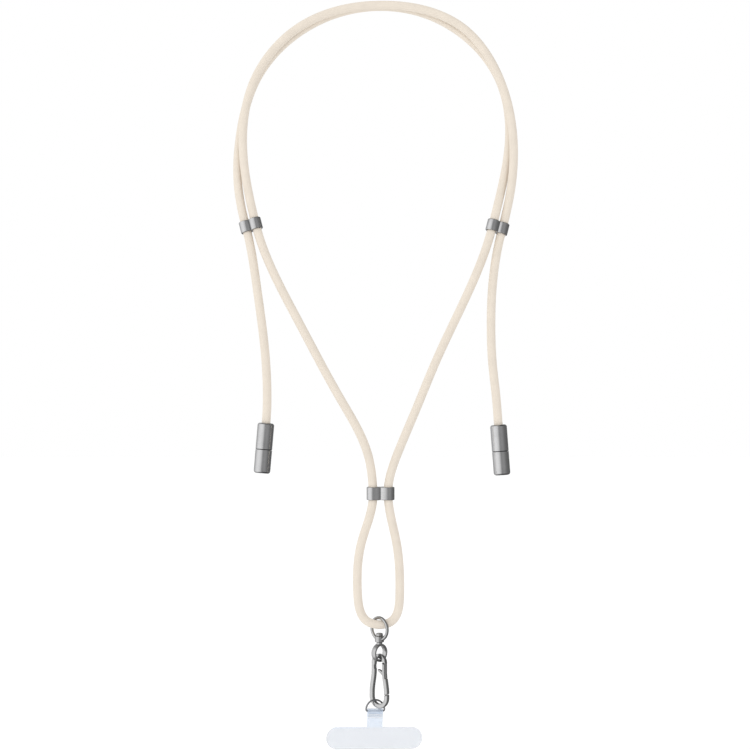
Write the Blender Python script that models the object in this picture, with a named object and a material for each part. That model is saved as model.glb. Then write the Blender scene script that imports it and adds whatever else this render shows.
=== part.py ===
"""Charging cable lanyard: a round textile-covered cable with a plug at each end, worn round the neck.

The cable runs from the left plug up through the left slider, behind the nape, down through the right
slider and the center slider, round the hook loop, back up through the center and left sliders, over the
nape in front and down through the right slider to the right plug. A swivel hook hangs on the loop and
carries a film tab that goes inside a phone case.

The origin is where the two neck strands rest on the nape, halfway between them. -Y is the wearer's front,
+X is to the right as seen from the front, +Z is up. Lengths are in metres.
"""

import math

import bmesh
import bpy
import numpy as np
from mathutils import Matrix, Vector

# The cable and the room that it has in every bore that it passes through
CABLE_DIAMETER = 0.0055
CABLE_BORE_CLEARANCE = 0.0004
CABLE_SIDES_STEP = 3
SPAN_LENGTH = 0.038
SPAN_TURN = math.radians(30.0)
HOOK_SPAN_HALF = 0.0020

# The gaps that pieces keep to what they rest on, and to what they turn in
SEAT_GAP = 0.0003
SPIN_GAP = 0.00035

# The three sliders: two tubes side by side that meet in a crease
SIDE_SLIDER_PITCH = 0.0068
CENTER_SLIDER_PITCH = 0.0098
SLIDER_LOBE_DIAMETER = 0.0078
SLIDER_CREASE_THICKNESS = 0.0048
SLIDER_RIM = 0.0005
SIDE_SLIDER_HEIGHT = 0.0074
CENTER_SLIDER_HEIGHT = 0.0082

# Where the sliders sit, and how their tubes run: tilt to the side, lean to the front at the foot, and
# the turn that brings the tube nearer the chest's middle to the front
SIDE_SLIDER_LEAN = math.radians(8.0)
SIDE_SLIDER_TURN = math.radians(14.0)
SLIDER_PLACES = {
    "left": ((-0.0811, -0.0295, -0.1442), math.radians(-14.7), SIDE_SLIDER_LEAN, SIDE_SLIDER_TURN),
    "right": ((0.0760, -0.0295, -0.1453), math.radians(14.7), SIDE_SLIDER_LEAN, -SIDE_SLIDER_TURN),
    "center": ((0.0015, -0.0400, -0.3140), 0.0, 0.0, 0.0),
}

# The plug housings and their pull-off caps
HOUSING_DIAMETER = 0.0105
HOUSING_LENGTH = 0.0166
HOUSING_EDGE = 0.0015
CABLE_SOCKET_DEPTH = 0.0040
SPIGOT_DIAMETER = 0.0084
SPIGOT_LENGTH = 0.0022
CAP_LENGTH = 0.0148
CAP_EDGE = 0.0017
CAP_FLOOR = 0.0014
JOINT_LINE = 0.0004
JOINT_EDGE = 0.0003

# The plug's metal shell, 8.25 by 2.4 mm as every plug of this kind has it
PLUG_WIDTH = 0.00825
PLUG_THICKNESS = 0.0024
PLUG_LENGTH = 0.00665
PLUG_WALL = 0.0003
PLUG_MOUTH_DEPTH = 0.0045

# The upper eye of the swivel, which hangs on the cable's loop
EYE_WIRE = 0.0020
EYE_WIDTH = 0.0164
EYE_HEIGHT = 0.0157
EYE_SEAT_GAP = 0.00060
EYE_TURN = math.radians(-48.0)
BARREL_DIAMETER = 0.0058
BARREL_HEIGHT = 0.0039
BARREL_BELOW_EYE = 0.0006
BARREL_EDGE = 0.0006

# The lower eye, a flat band in one piece with the post that turns in the barrel
POST_DIAMETER = 0.0024
POST_HEAD_DIAMETER = 0.0044
POST_HEAD_HEIGHT = 0.0014
COLLAR_DIAMETER = 0.0036
COLLAR_HEIGHT = 0.0006
BAND_DIAMETER = 0.0114
BAND_WALL = 0.0013
BAND_WIDTH = 0.0035
BAND_EDGE = 0.0003
BAND_PEAR = 0.08
BAND_TURN = math.radians(46.0)

# The carabiner: a flat-sided wire with a fork at its hinge and a slanted nose
HOOK_WIRE = 0.0027
HOOK_WIRE_EDGE = 0.0006
BOW_RADIUS = 0.0041
FOOT_RADIUS = 0.00575
HOOK_HEIGHT = 0.0343
FLARE_START = 0.0050
FLARE_ABOVE_FOOT = 0.00275
HOOK_BAND_GAP = 0.00100
HOOK_TURN = math.radians(-38.0)

# The gate between the fork and the nose. Slopes are rise over run toward the gate's outer side.
GATE_PIVOT_ANGLE = math.radians(17.0)
GATE_OPENING = math.radians(18.0)
GATE_PIN_DIAMETER = 0.0007
GATE_TONGUE_THICKNESS = 0.0008
GATE_TONGUE_DIAMETER = 0.0022
GATE_STEM_REACH = 0.0004
GATE_GAP = 0.00050
FORK_END_RISE = 0.0001
FORK_SLOPE = -0.50
FORK_LEAD = math.radians(24.0)
NOSE_ABOVE_FOOT = 0.00185
NOSE_SLOPE = 0.30
SPINE_THICKNESS = 0.0006
SPINE_DROP = 0.0094
LEVER_DROP = 0.0072
LEVER_LENGTH = 0.0058
LEVER_ROOT_DIAMETER = 0.0015
LEVER_TIP_DIAMETER = 0.0008
LEVER_TILT = math.radians(27.0)
NOTCH_HALF_HEIGHT = 0.0012
NOTCH_CLEARANCE = 0.0005

# The wire ring between the carabiner and the tab
RING_WIRE = 0.0011
RING_WIDTH = 0.0127
RING_HEIGHT = 0.0081
RING_CORNER = 0.0010
RING_BACK = 0.0007
RING_LEFT = 0.0027
RING_TURN = math.radians(8.0)
RING_TILT = math.radians(1.6)

# The film tab, folded over the ring's bar and welded to itself
FILM = 0.0007
TAB_NECK_WIDTH = 0.0097
TAB_NECK_LENGTH = 0.0118
TAB_FOLD_LENGTH = 0.0042
TAB_BODY_WIDTH = 0.0610
TAB_BODY_HEIGHT = 0.0138
TAB_END_FLAT = 0.0002

# The cable's route in order, from the left plug to the right plug. Each _pass stands for the two ends of a
# slider's bore: the slider, the bore (-1 for the left one) and the way through it (1 for up).
CABLE_ROUTE = {
    "left_end": [
        (-0.0712, -0.0365, -0.2734),
        (-0.0705, -0.0359, -0.2634),
        (-0.0703, -0.0354, -0.2500),
        (-0.0718, -0.0346, -0.2236),
        (-0.0768, -0.0328, -0.1852),
    ],
    "left_outer_pass": ("left", -1.0, 1.0),
    "neck_back": [
        (-0.0898, -0.0226, -0.1181),
        (-0.0893, -0.0123, -0.0831),
        (-0.0790, -0.0038, -0.0452),
        (-0.0310, 0.0030, -0.0028),
        (0.0329, 0.0030, -0.0024),
        (0.0787, -0.0038, -0.0452),
        (0.0851, -0.0123, -0.0831),
        (0.0796, -0.0226, -0.1181),
    ],
    "right_inner_pass": ("right", -1.0, -1.0),
    "right_strand": [
        (0.0368, -0.0378, -0.2300),
        (0.0237, -0.0394, -0.2615),
        (0.0119, -0.0400, -0.2898),
    ],
    "center_right_pass": ("center", 1.0, -1.0),
    "hook_loop": [
        (0.0112, -0.0400, -0.3434),
        (0.0136, -0.0400, -0.3762),
        (0.0080, -0.0400, -0.3948),
        (-0.0065, -0.0400, -0.3948),
        (-0.0130, -0.0400, -0.3762),
        (-0.0101, -0.0400, -0.3434),
    ],
    "center_left_pass": ("center", -1.0, 1.0),
    "left_strand": [
        (-0.0064, -0.0400, -0.2898),
        (-0.0234, -0.0392, -0.2552),
        (-0.0509, -0.0365, -0.2046),
    ],
    "left_inner_pass": ("left", 1.0, 1.0),
    "neck_front": [
        (-0.0837, -0.0258, -0.1185),
        (-0.0871, -0.0187, -0.0842),
        (-0.0797, -0.0106, -0.0465),
        (-0.0523, -0.0049, -0.0127),
        (0.0013, -0.0034, 0.0027),
        (0.0555, -0.0049, -0.0127),
        (0.0787, -0.0106, -0.0465),
        (0.0868, -0.0187, -0.0842),
        (0.0852, -0.0258, -0.1185),
    ],
    "right_outer_pass": ("right", 1.0, -1.0),
    "right_end": [
        (0.0742, -0.0322, -0.1691),
        (0.0715, -0.0350, -0.2110),
        (0.0724, -0.0362, -0.2330),
        (0.0745, -0.0373, -0.2530),
        (0.0754, -0.0380, -0.2646),
        (0.0761, -0.0385, -0.2744),
    ],
}
HOOK_LOOP_BOTTOM = 2.5


def clear_scene():
    """Remove every object of the open scene."""
    for thing in list(bpy.data.objects):
        bpy.data.objects.remove(thing, do_unlink=True)


def make_material(name, color, roughness, metallic=0.0, alpha=1.0):
    """Return a Principled material."""
    material = bpy.data.materials.new(name)
    material.use_nodes = True
    shader = material.node_tree.nodes["Principled BSDF"]
    shader.inputs["Base Color"].default_value = (*color, 1.0)
    shader.inputs["Roughness"].default_value = roughness
    shader.inputs["Metallic"].default_value = metallic
    shader.inputs["Alpha"].default_value = alpha
    return material


def loft(rings, closed=False):
    """Return a closed skin through rings of equal point counts, with an end face on each open end."""
    shape = bmesh.new()
    rows = [[shape.verts.new(point) for point in ring] for ring in rings]
    pairs = list(zip(rows, rows[1:]))
    if closed:
        pairs.append((rows[-1], rows[0]))
    else:
        shape.faces.new(rows[0])
        shape.faces.new(rows[-1])
    for first, second in pairs:
        for i, corner in enumerate(first):
            j = (i + 1) % len(first)
            shape.faces.new((corner, first[j], second[j], second[i]))
    bmesh.ops.recalc_face_normals(shape, faces=shape.faces)
    return shape


def turned(profile, sides):
    """Return the body of revolution about Z whose profile is a run of (radius, height) points."""
    rings = []
    for radius, height in profile:
        ring = []
        for i in range(sides):
            angle = 2.0 * math.pi * i / sides
            ring.append((radius * math.cos(angle), radius * math.sin(angle), height))
        rings.append(ring)
    return loft(rings)


def rounded_end(radius, height, edge, toward, steps=4):
    """Return (radius, height) points of a rounded outer edge; toward is +1 for a top edge, -1 for a foot."""
    points = []
    for i in range(steps + 1):
        angle = 0.5 * math.pi * i / steps
        points.append((
            radius - edge + edge * math.cos(angle),
            height - toward * edge * (1.0 - math.sin(angle)),
        ))
    return points


def soft_rectangle(width, depth, edge):
    """Return a rectangle about the origin with its corners cut, as (across, through) points."""
    a = 0.5 * width
    b = 0.5 * depth
    c = edge
    return [(a, b - c), (a - c, b), (c - a, b), (-a, b - c), (-a, c - b), (c - a, -b), (a - c, -b), (a, c - b)]


def round_section(diameter, sides):
    """Return a circle about the origin as (across, through) points."""
    turns = [2.0 * math.pi * i / sides for i in range(sides)]
    return [(0.5 * diameter * math.cos(turn), 0.5 * diameter * math.sin(turn)) for turn in turns]


def sweep_flat(path, section, closed=False, skew_start=0.0, skew_end=0.0, first_along=None):
    """Return a section swept along (x, z) points in the XZ plane.

    A skew slants an end face: it shifts the section's points along the path by that share of their
    distance across. The first face is square to first_along where that is given.
    """
    count = len(path)
    rings = []
    for i, (x, z) in enumerate(path):
        before = path[(i - 1) % count] if closed or i > 0 else path[0]
        after = path[(i + 1) % count] if closed or i < count - 1 else path[-1]
        along = Vector((after[0] - before[0], 0.0, after[1] - before[1])).normalized()
        if first_along is not None and i == 0:
            along = Vector((first_along[0], 0.0, first_along[1]))
        across = Vector((along.z, 0.0, -along.x))
        skew = 0.0
        if not closed and i == 0:
            skew = skew_start
        if not closed and i == count - 1:
            skew = skew_end
        ring = []
        for a, b in section:
            ring.append(Vector((x, 0.0, z)) + across * a + Vector((0.0, b, 0.0)) + along * (skew * a))
        rings.append(ring)
    return loft(rings, closed)


def plate(outline, thickness):
    """Return a plate with an (x, z) outline, centred on the XZ plane."""
    half = 0.5 * thickness
    return loft([[(x, side, z) for x, z in outline] for side in (-half, half)])


def arc_points(center, radius, start, end, steps):
    """Return (x, z) points of an arc between two angles."""
    points = []
    for i in range(steps + 1):
        angle = start + (end - start) * i / steps
        points.append((center[0] + radius * math.cos(angle), center[1] + radius * math.sin(angle)))
    return points


def place(thing, parent=None, location=(0.0, 0.0, 0.0), turn=0.0):
    """Link an object under its parent, at a place and with a turn about Z."""
    bpy.context.scene.collection.objects.link(thing)
    thing.parent = parent
    thing.location = location
    thing.rotation_euler = (0.0, 0.0, turn)
    return thing


def add_piece(name, shape, material, parent=None, location=(0.0, 0.0, 0.0), turn=0.0):
    """Add a solid to the scene as one named piece."""
    mesh = bpy.data.meshes.new(name)
    shape.to_mesh(mesh)
    shape.free()
    mesh.materials.append(material)
    mesh.shade_smooth()
    mesh.set_sharp_from_angle(angle=math.radians(32.0))
    return place(bpy.data.objects.new(name, mesh), parent, location, turn)


def combine(target, name, shape, operation, location=(0.0, 0.0, 0.0), turn=0.0):
    """Join a guide shape to a piece, or cut it from the piece, in the piece's own axes."""
    guide = add_piece(name, shape, target.data.materials[0], target, location, turn)
    guide.display_type = "WIRE"
    guide.hide_render = True
    modifier = target.modifiers.new(name, "BOOLEAN")
    modifier.operation = operation
    modifier.solver = "EXACT"
    modifier.object = guide
    return guide


def add_axis(name, location, parent=None, turn=0.0):
    """Add an empty that stands on a joint's axis."""
    axis = bpy.data.objects.new(name, None)
    axis.empty_display_size = 0.01
    return place(axis, parent, location, turn)


def slider_frame(side):
    """Return the frame of a slider, with X from its left bore to its right bore and Z along the bores."""
    center, tilt, lean, turn = SLIDER_PLACES[side]
    along = Matrix.Rotation(tilt, 4, "Y") @ Matrix.Rotation(-lean, 4, "X")
    return Matrix.Translation(center) @ along @ Matrix.Rotation(-turn, 4, "Z")


def slider_height(side):
    """Return the height of a slider."""
    return CENTER_SLIDER_HEIGHT if side == "center" else SIDE_SLIDER_HEIGHT


def slider_pitch(side):
    """Return the distance between a slider's two bores."""
    return CENTER_SLIDER_PITCH if side == "center" else SIDE_SLIDER_PITCH


def bore_ends(side, hand, way):
    """Return two points on a bore's axis, just outside its ends, in the order in which the cable runs."""
    reach = 0.5 * slider_height(side) + SEAT_GAP
    frame = slider_frame(side)
    across = hand * 0.5 * slider_pitch(side)
    return [tuple(frame @ Vector((across, 0.0, way * reach * end))) for end in (-1.0, 1.0)]


class SmoothRoute:
    """A curve without kinks through the cable's route points (a natural cubic spline)."""

    def __init__(self, stretches):
        self.first = {}
        points = []
        for name, stretch in stretches.items():
            self.first[name] = len(points)
            if name.endswith("_pass"):
                points.extend(bore_ends(*stretch))
            else:
                points.extend(stretch)
        self.points = np.array(points)
        steps = np.linalg.norm(np.diff(self.points, axis=0), axis=1)
        self.knots = np.concatenate(([0.0], np.cumsum(steps)))
        count = len(points)
        system = np.eye(count)
        target = np.zeros((count, 3))
        for i in range(1, count - 1):
            before = steps[i - 1]
            after = steps[i]
            system[i, i - 1:i + 2] = before, 2.0 * (before + after), after
            rise = (self.points[i + 1] - self.points[i]) / after
            rise -= (self.points[i] - self.points[i - 1]) / before
            target[i] = 6.0 * rise
        self.bends = np.linalg.solve(system, target)

    def knot(self, name, index=0.0):
        """Return the place along the curve of a named route point, or of a place between two of them."""
        return float(np.interp(self.first[name] + index, range(len(self.knots)), self.knots))

    def at(self, place_along):
        """Return the point at a place along the curve."""
        i = int(np.clip(np.searchsorted(self.knots, place_along) - 1, 0, len(self.knots) - 2))
        step = self.knots[i + 1] - self.knots[i]
        late = (place_along - self.knots[i]) / step
        early = 1.0 - late
        lift = (early ** 3 - early) * self.bends[i] + (late ** 3 - late) * self.bends[i + 1]
        return early * self.points[i] + late * self.points[i + 1] + lift * step ** 2 / 6.0

    def direction(self, place_along):
        """Return the unit direction of the curve at a place along it."""
        reach = 0.0002
        ahead = self.at(place_along + reach) - self.at(place_along - reach)
        return ahead / np.linalg.norm(ahead)


def tube_points(route):
    """Return the points of the cable's plain tube, closer together where the cable bends more.

    Each slider's bore, each plug's socket and the hook's seat hold one straight piece of the tube.
    """
    first_end = route.knots[0]
    last_end = route.knots[-1]
    fixed = [(first_end, first_end + CABLE_SOCKET_DEPTH), (last_end - CABLE_SOCKET_DEPTH, last_end)]
    for name in route.first:
        if name.endswith("_pass"):
            fixed.append((route.knot(name), route.knot(name, 1.0)))
    bottom = route.knot("hook_loop", HOOK_LOOP_BOTTOM)
    fixed.append((bottom - HOOK_SPAN_HALF, bottom + HOOK_SPAN_HALF))
    fixed.sort()
    points = [Vector(route.at(first_end))]
    for (_, start), (end, _) in zip(fixed, fixed[1:]):
        fine = np.linspace(start, end, 120)
        headings = [route.direction(place_along) for place_along in fine]
        effort = [0.0]
        for i in range(1, len(fine)):
            turn = math.acos(min(1.0, float(np.dot(headings[i - 1], headings[i]))))
            effort.append(effort[-1] + (fine[i] - fine[i - 1]) / SPAN_LENGTH + turn / SPAN_TURN)
        spans = max(1, round(effort[-1]))
        marks = np.interp(np.linspace(0.0, effort[-1], spans + 1), effort, fine)
        points.extend(Vector(route.at(mark)) for mark in marks)
    points.append(Vector(route.at(last_end)))
    return points


def cable_bore_diameter():
    """Return the bore that the cable passes through with its clearance."""
    return CABLE_DIAMETER + 2.0 * CABLE_BORE_CLEARANCE


def make_cable(route, material):
    """Make the cable's plain tube."""
    curve = bpy.data.curves.new("charging_cable", "CURVE")
    curve.dimensions = "3D"
    curve.bevel_depth = 0.5 * CABLE_DIAMETER
    curve.bevel_resolution = CABLE_SIDES_STEP
    curve.use_fill_caps = True
    points = tube_points(route)
    spline = curve.splines.new("POLY")
    spline.points.add(len(points) - 1)
    for slot, point in zip(spline.points, points):
        slot.co = (*point, 1.0)
    spline.use_smooth = True
    curve.materials.append(material)
    place(bpy.data.objects.new("charging_cable", curve))


def slider_outline(inset, pitch):
    """Return the (x, y) outline of a slider, two lobes that meet in a crease, drawn in by an inset."""
    radius = 0.5 * SLIDER_LOBE_DIAMETER - inset
    crease = 0.5 * SLIDER_CREASE_THICKNESS - inset
    half = 0.5 * pitch
    reach = half / math.sqrt(1.0 - (crease / radius) ** 2)
    slope = []
    for i in range(6):
        x = half * i / 6
        slope.append((x, radius * math.sqrt(1.0 - ((half - x) / reach) ** 2)))
    lobe = slope + arc_points((half, 0.0), radius, 0.5 * math.pi, -0.5 * math.pi, 11)
    lobe += [(x, -y) for x, y in reversed(slope[1:])]
    return lobe + [(-x, -y) for x, y in lobe]


def make_slider(side, material):
    """Make one slider about its frame, whose X runs from strand to strand and Z along them."""
    half = 0.5 * slider_height(side)
    pitch = slider_pitch(side)
    levels = [
        (-half, SLIDER_RIM),
        (-half + 0.3 * SLIDER_RIM, 0.3 * SLIDER_RIM),
        (-half + SLIDER_RIM, 0.0),
        (half - SLIDER_RIM, 0.0),
        (half - 0.3 * SLIDER_RIM, 0.3 * SLIDER_RIM),
        (half, SLIDER_RIM),
    ]
    rings = [[(x, y, level) for x, y in slider_outline(inset, pitch)] for level, inset in levels]
    slider = add_piece(f"slider_{side}", loft(rings), material)
    bore = 0.5 * cable_bore_diameter()
    flare = 0.4 * SLIDER_RIM
    beyond = half + SLIDER_RIM
    profile = [
        (bore + flare, -beyond),
        (bore + flare, -half),
        (bore, -half + flare),
        (bore, half - flare),
        (bore + flare, half),
        (bore + flare, beyond),
    ]
    for hand, where in ((-1.0, "left"), (1.0, "right")):
        cutter_place = (hand * 0.5 * pitch, 0.0, 0.0)
        combine(slider, f"slider_{side}_{where}_bore", turned(profile, 20), "DIFFERENCE", cutter_place)
    slider.matrix_world = slider_frame(side)
    return slider


def plug_frame(route, at_start):
    """Return the frame of a plug: its origin at the housing's top, Z back up along the cable."""
    end = route.knots[0] if at_start else route.knots[-1]
    heading = Vector(route.direction(end))
    up = heading if at_start else -heading
    side = Vector((1.0, 0.0, 0.0))
    side -= up * side.dot(up)
    side.normalize()
    turn = Matrix((side, up.cross(side), up)).transposed().to_4x4()
    floor = Vector(route.at(end)) - up * CABLE_BORE_CLEARANCE
    return Matrix.Translation(floor + up * CABLE_SOCKET_DEPTH) @ turn


def stadium(width, thickness):
    """Return an (x, y) outline with straight sides and half-round ends."""
    radius = 0.5 * thickness
    reach = 0.5 * width - radius
    quarter = 0.5 * math.pi
    right = arc_points((reach, 0.0), radius, -quarter, quarter, 8)
    left = arc_points((-reach, 0.0), radius, quarter, 3.0 * quarter, 8)
    return right + left


def make_plug(side, frame, metal, steel):
    """Make a plug housing, the plug below it and the cap over the plug."""
    radius = 0.5 * HOUSING_DIAMETER
    socket = 0.5 * cable_bore_diameter()
    spigot = 0.5 * SPIGOT_DIAMETER
    shoulder = -HOUSING_LENGTH
    spigot_end = shoulder - SPIGOT_LENGTH
    housing_profile = [(socket, -CABLE_SOCKET_DEPTH), (socket, -JOINT_EDGE), (socket + JOINT_EDGE, 0.0)]
    housing_profile += list(reversed(rounded_end(radius, 0.0, HOUSING_EDGE, 1.0, 3)))
    housing_profile += rounded_end(radius, shoulder, JOINT_EDGE, -1.0, 2)
    housing_profile += [(spigot, shoulder), (spigot, spigot_end + JOINT_EDGE), (spigot - JOINT_EDGE, spigot_end)]
    housing = add_piece(f"plug_housing_{side}", turned(housing_profile, 28), metal)
    housing.matrix_world = frame

    outer = stadium(PLUG_WIDTH, PLUG_THICKNESS)
    inner = stadium(PLUG_WIDTH - 2.0 * PLUG_WALL, PLUG_THICKNESS - 2.0 * PLUG_WALL)
    top = spigot_end - SEAT_GAP
    tip = top - PLUG_LENGTH
    rings = [(outer, top), (outer, tip), (inner, tip), (inner, tip + PLUG_MOUTH_DEPTH)]
    plug = add_piece(
        f"usb_plug_{side}", loft([[(x, y, level) for x, y in outline] for outline, level in rings]), steel)
    plug.matrix_world = frame

    cavity = spigot + SEAT_GAP
    cap_top = shoulder - JOINT_LINE
    cap_foot = cap_top - CAP_LENGTH
    floor = cap_foot + CAP_FLOOR
    cap_profile = [(cavity, floor), (cavity, cap_top)]
    cap_profile += list(reversed(rounded_end(radius, cap_top, JOINT_EDGE, 1.0, 2)))
    cap_profile += rounded_end(radius, cap_foot, CAP_EDGE, -1.0, 4)
    cap = add_piece(f"plug_cap_{side}", turned(cap_profile, 28), metal)
    cap.matrix_world = frame


def make_upper_eye(axis, material):
    """Make the swivel's upper eye, a wire ring with a bored barrel at its foot."""
    wide = 0.5 * (EYE_WIDTH - EYE_WIRE)
    high = 0.5 * (EYE_HEIGHT - EYE_WIRE)
    middle = 0.5 * CABLE_DIAMETER + EYE_SEAT_GAP + EYE_WIRE - 0.5 * EYE_HEIGHT
    path = []
    for i in range(32):
        angle = 2.0 * math.pi * i / 32
        path.append((wide * math.cos(angle), middle + high * math.sin(angle)))
    eye = add_piece(
        "swivel_upper_eye", sweep_flat(path, round_section(EYE_WIRE, 10), True), material, axis, turn=EYE_TURN)
    foot = barrel_foot()
    top = foot + BARREL_HEIGHT
    radius = 0.5 * BARREL_DIAMETER
    profile = rounded_end(radius, foot, BARREL_EDGE, -1.0, 3)[::-1] + rounded_end(radius, top, BARREL_EDGE, 1.0, 3)
    combine(eye, "barrel", turned(profile, 24), "UNION")
    bore = 0.5 * POST_DIAMETER + SPIN_GAP
    combine(eye, "barrel_bore", turned([(bore, foot - EYE_WIRE), (bore, top + EYE_WIRE)], 20), "DIFFERENCE")


def barrel_foot():
    """Return the height of the barrel's underside, counted from the cable's centre on the loop."""
    return 0.5 * CABLE_DIAMETER + EYE_SEAT_GAP + EYE_WIRE - EYE_HEIGHT - BARREL_BELOW_EYE


def band_top():
    """Return the height of the lower eye's highest outer point."""
    return barrel_foot() - SPIN_GAP - COLLAR_HEIGHT


def hook_center():
    """Return the height of the centre of the carabiner's bow, on which it swings."""
    band_floor = band_top() - BAND_DIAMETER + BAND_WALL
    return band_floor + HOOK_BAND_GAP + 0.5 * HOOK_WIRE - BOW_RADIUS


def make_lower_eye(axis, material):
    """Make the lower eye: a flat band with the collar, post and head that turn in the barrel."""
    radius = 0.5 * (BAND_DIAMETER - BAND_WALL)
    middle = band_top() - 0.5 * BAND_DIAMETER
    path = []
    for i in range(32):
        angle = 2.0 * math.pi * i / 32
        pear = 1.0 - BAND_PEAR * max(0.0, math.sin(angle)) ** 2
        path.append((radius * pear * math.cos(angle), middle + radius * math.sin(angle)))
    section = soft_rectangle(BAND_WALL, BAND_WIDTH, BAND_EDGE)
    eye = add_piece("swivel_lower_eye", sweep_flat(path, section, True), material, axis, turn=BAND_TURN)
    collar_top = barrel_foot() - SPIN_GAP
    head_foot = barrel_foot() + BARREL_HEIGHT + SPIN_GAP
    collar = 0.5 * COLLAR_DIAMETER
    post = 0.5 * POST_DIAMETER
    profile = [
        (collar, band_top() - 0.6 * BAND_WALL),
        (collar, collar_top),
        (post, collar_top),
        (post, head_foot),
        (0.5 * POST_HEAD_DIAMETER, head_foot),
    ]
    profile += rounded_end(
        0.5 * POST_HEAD_DIAMETER, head_foot + POST_HEAD_HEIGHT, 0.6 * POST_HEAD_HEIGHT, 1.0, 3)
    combine(eye, "post", turned(profile, 24), "UNION")


def leg_offset(drop):
    """Return how far a leg's centre line stands from the carabiner's middle, at a depth below the bow."""
    share = min(1.0, max(0.0, (drop - FLARE_START) / (foot_drop() - FLARE_ABOVE_FOOT - FLARE_START)))
    return BOW_RADIUS + (FOOT_RADIUS - BOW_RADIUS) * share * share * (3.0 - 2.0 * share)


def foot_drop():
    """Return the depth of the foot bend's centre below the bow's centre."""
    return HOOK_HEIGHT - BOW_RADIUS - FOOT_RADIUS - HOOK_WIRE


def nose_drop():
    """Return the depth of the nose's end below the bow's centre."""
    return foot_drop() - NOSE_ABOVE_FOOT


def gate_pivot():
    """Return the gate's pivot in the carabiner's plane."""
    return BOW_RADIUS * math.cos(GATE_PIVOT_ANGLE), BOW_RADIUS * math.sin(GATE_PIVOT_ANGLE)


def outer_strip(thickness, drop, cover, beyond):
    """Return an (x, z) outline along the gate leg's outer side, from a cover above it down to a drop."""
    outline = []
    for i in range(9):
        depth = -cover + (drop + cover) * i / 8
        outline.append((leg_offset(depth) + 0.5 * HOOK_WIRE + beyond, -depth))
    for i in range(9):
        depth = drop - (drop + cover) * i / 8
        outline.append((leg_offset(depth) + 0.5 * HOOK_WIRE - thickness, -depth))
    return outline


def lever_tip():
    """Return the middle of the gate lever's tip in the carabiner's plane, with the gate shut."""
    root = leg_offset(LEVER_DROP)
    return root - LEVER_LENGTH * math.cos(LEVER_TILT), -LEVER_DROP + LEVER_LENGTH * math.sin(LEVER_TILT)


def notch_outline():
    """Return the (x, z) outline of the notch in the far leg that the lever's tip swings into."""
    pivot_x, pivot_z = gate_pivot()
    tip_x, tip_z = lever_tip()
    arm_x = tip_x - pivot_x
    arm_z = tip_z - pivot_z
    open_x = pivot_x + arm_x * math.cos(GATE_OPENING) + arm_z * math.sin(GATE_OPENING)
    open_z = pivot_z + arm_z * math.cos(GATE_OPENING) - arm_x * math.sin(GATE_OPENING)
    floor = open_x - 0.5 * LEVER_TIP_DIAMETER - NOTCH_CLEARANCE
    mouth = 0.0
    half = NOTCH_HALF_HEIGHT
    rise = (mouth - floor) * 0.6
    return [
        (floor, open_z - half),
        (floor, open_z + half),
        (mouth, open_z + half + rise),
        (mouth, open_z - half - rise),
    ]


def tongue_outline(radius, stem_reach, foot):
    """Return the (x, z) outline of the gate's tongue: a round head at the pivot and a stem down to a foot."""
    head = arc_points((0.0, 0.0), radius, -math.radians(40.0), math.pi, 12)
    return head + [(-radius, foot), (stem_reach, foot), (stem_reach, -1.2 * radius)]


def make_carabiner(axis, material):
    """Make the carabiner's body, from its fork over the bow and round the foot to its nose."""
    depth = foot_drop()
    start = math.asin(FORK_END_RISE / BOW_RADIUS)
    path = [(BOW_RADIUS * math.cos(start), FORK_END_RISE)]
    path += arc_points((0.0, 0.0), BOW_RADIUS, start + FORK_LEAD, math.pi, 14)
    path += [(-leg_offset(depth * i / 12), -depth * i / 12) for i in range(1, 12)]
    path += arc_points((0.0, -depth), FOOT_RADIUS, math.pi, 2.0 * math.pi, 18)
    path.append((leg_offset(nose_drop()), -nose_drop()))
    section = soft_rectangle(HOOK_WIRE, HOOK_WIRE, HOOK_WIRE_EDGE)
    shape = sweep_flat(path, section, False, FORK_SLOPE, NOSE_SLOPE, (0.0, 1.0))
    body = add_piece("carabiner_body", shape, material, axis)
    pivot_x, pivot_z = gate_pivot()
    outer = 0.5 * HOOK_WIRE
    inner = outer - SPINE_THICKNESS
    spine_section = [(outer, outer - HOOK_WIRE_EDGE), (inner, outer - HOOK_WIRE_EDGE + SPINE_THICKNESS)]
    spine_section += [(a, -b) for a, b in reversed(spine_section)]
    spine_path = []
    for i in range(8):
        drop = -FORK_END_RISE - SEAT_GAP + (SPINE_DROP + FORK_END_RISE + SEAT_GAP) * i / 7
        spine_path.append((leg_offset(drop), -drop))
    combine(body, "spine", sweep_flat(spine_path[::-1], spine_section), "UNION")
    slot = GATE_TONGUE_THICKNESS + 2.0 * SPIN_GAP
    room = tongue_outline(0.5 * GATE_TONGUE_DIAMETER + SPIN_GAP, GATE_STEM_REACH + SPIN_GAP, -HOOK_WIRE)
    combine(body, "fork_slot", plate(room, slot), "DIFFERENCE", (pivot_x, 0.0, pivot_z))
    pin = plate(arc_points((0.0, 0.0), 0.5 * GATE_PIN_DIAMETER, 0.0, 1.75 * math.pi, 7), 0.9 * HOOK_WIRE)
    combine(body, "gate_pin", pin, "UNION", (pivot_x, 0.0, pivot_z))
    combine(body, "lever_notch", plate(notch_outline(), 2.0 * HOOK_WIRE), "DIFFERENCE")


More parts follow.
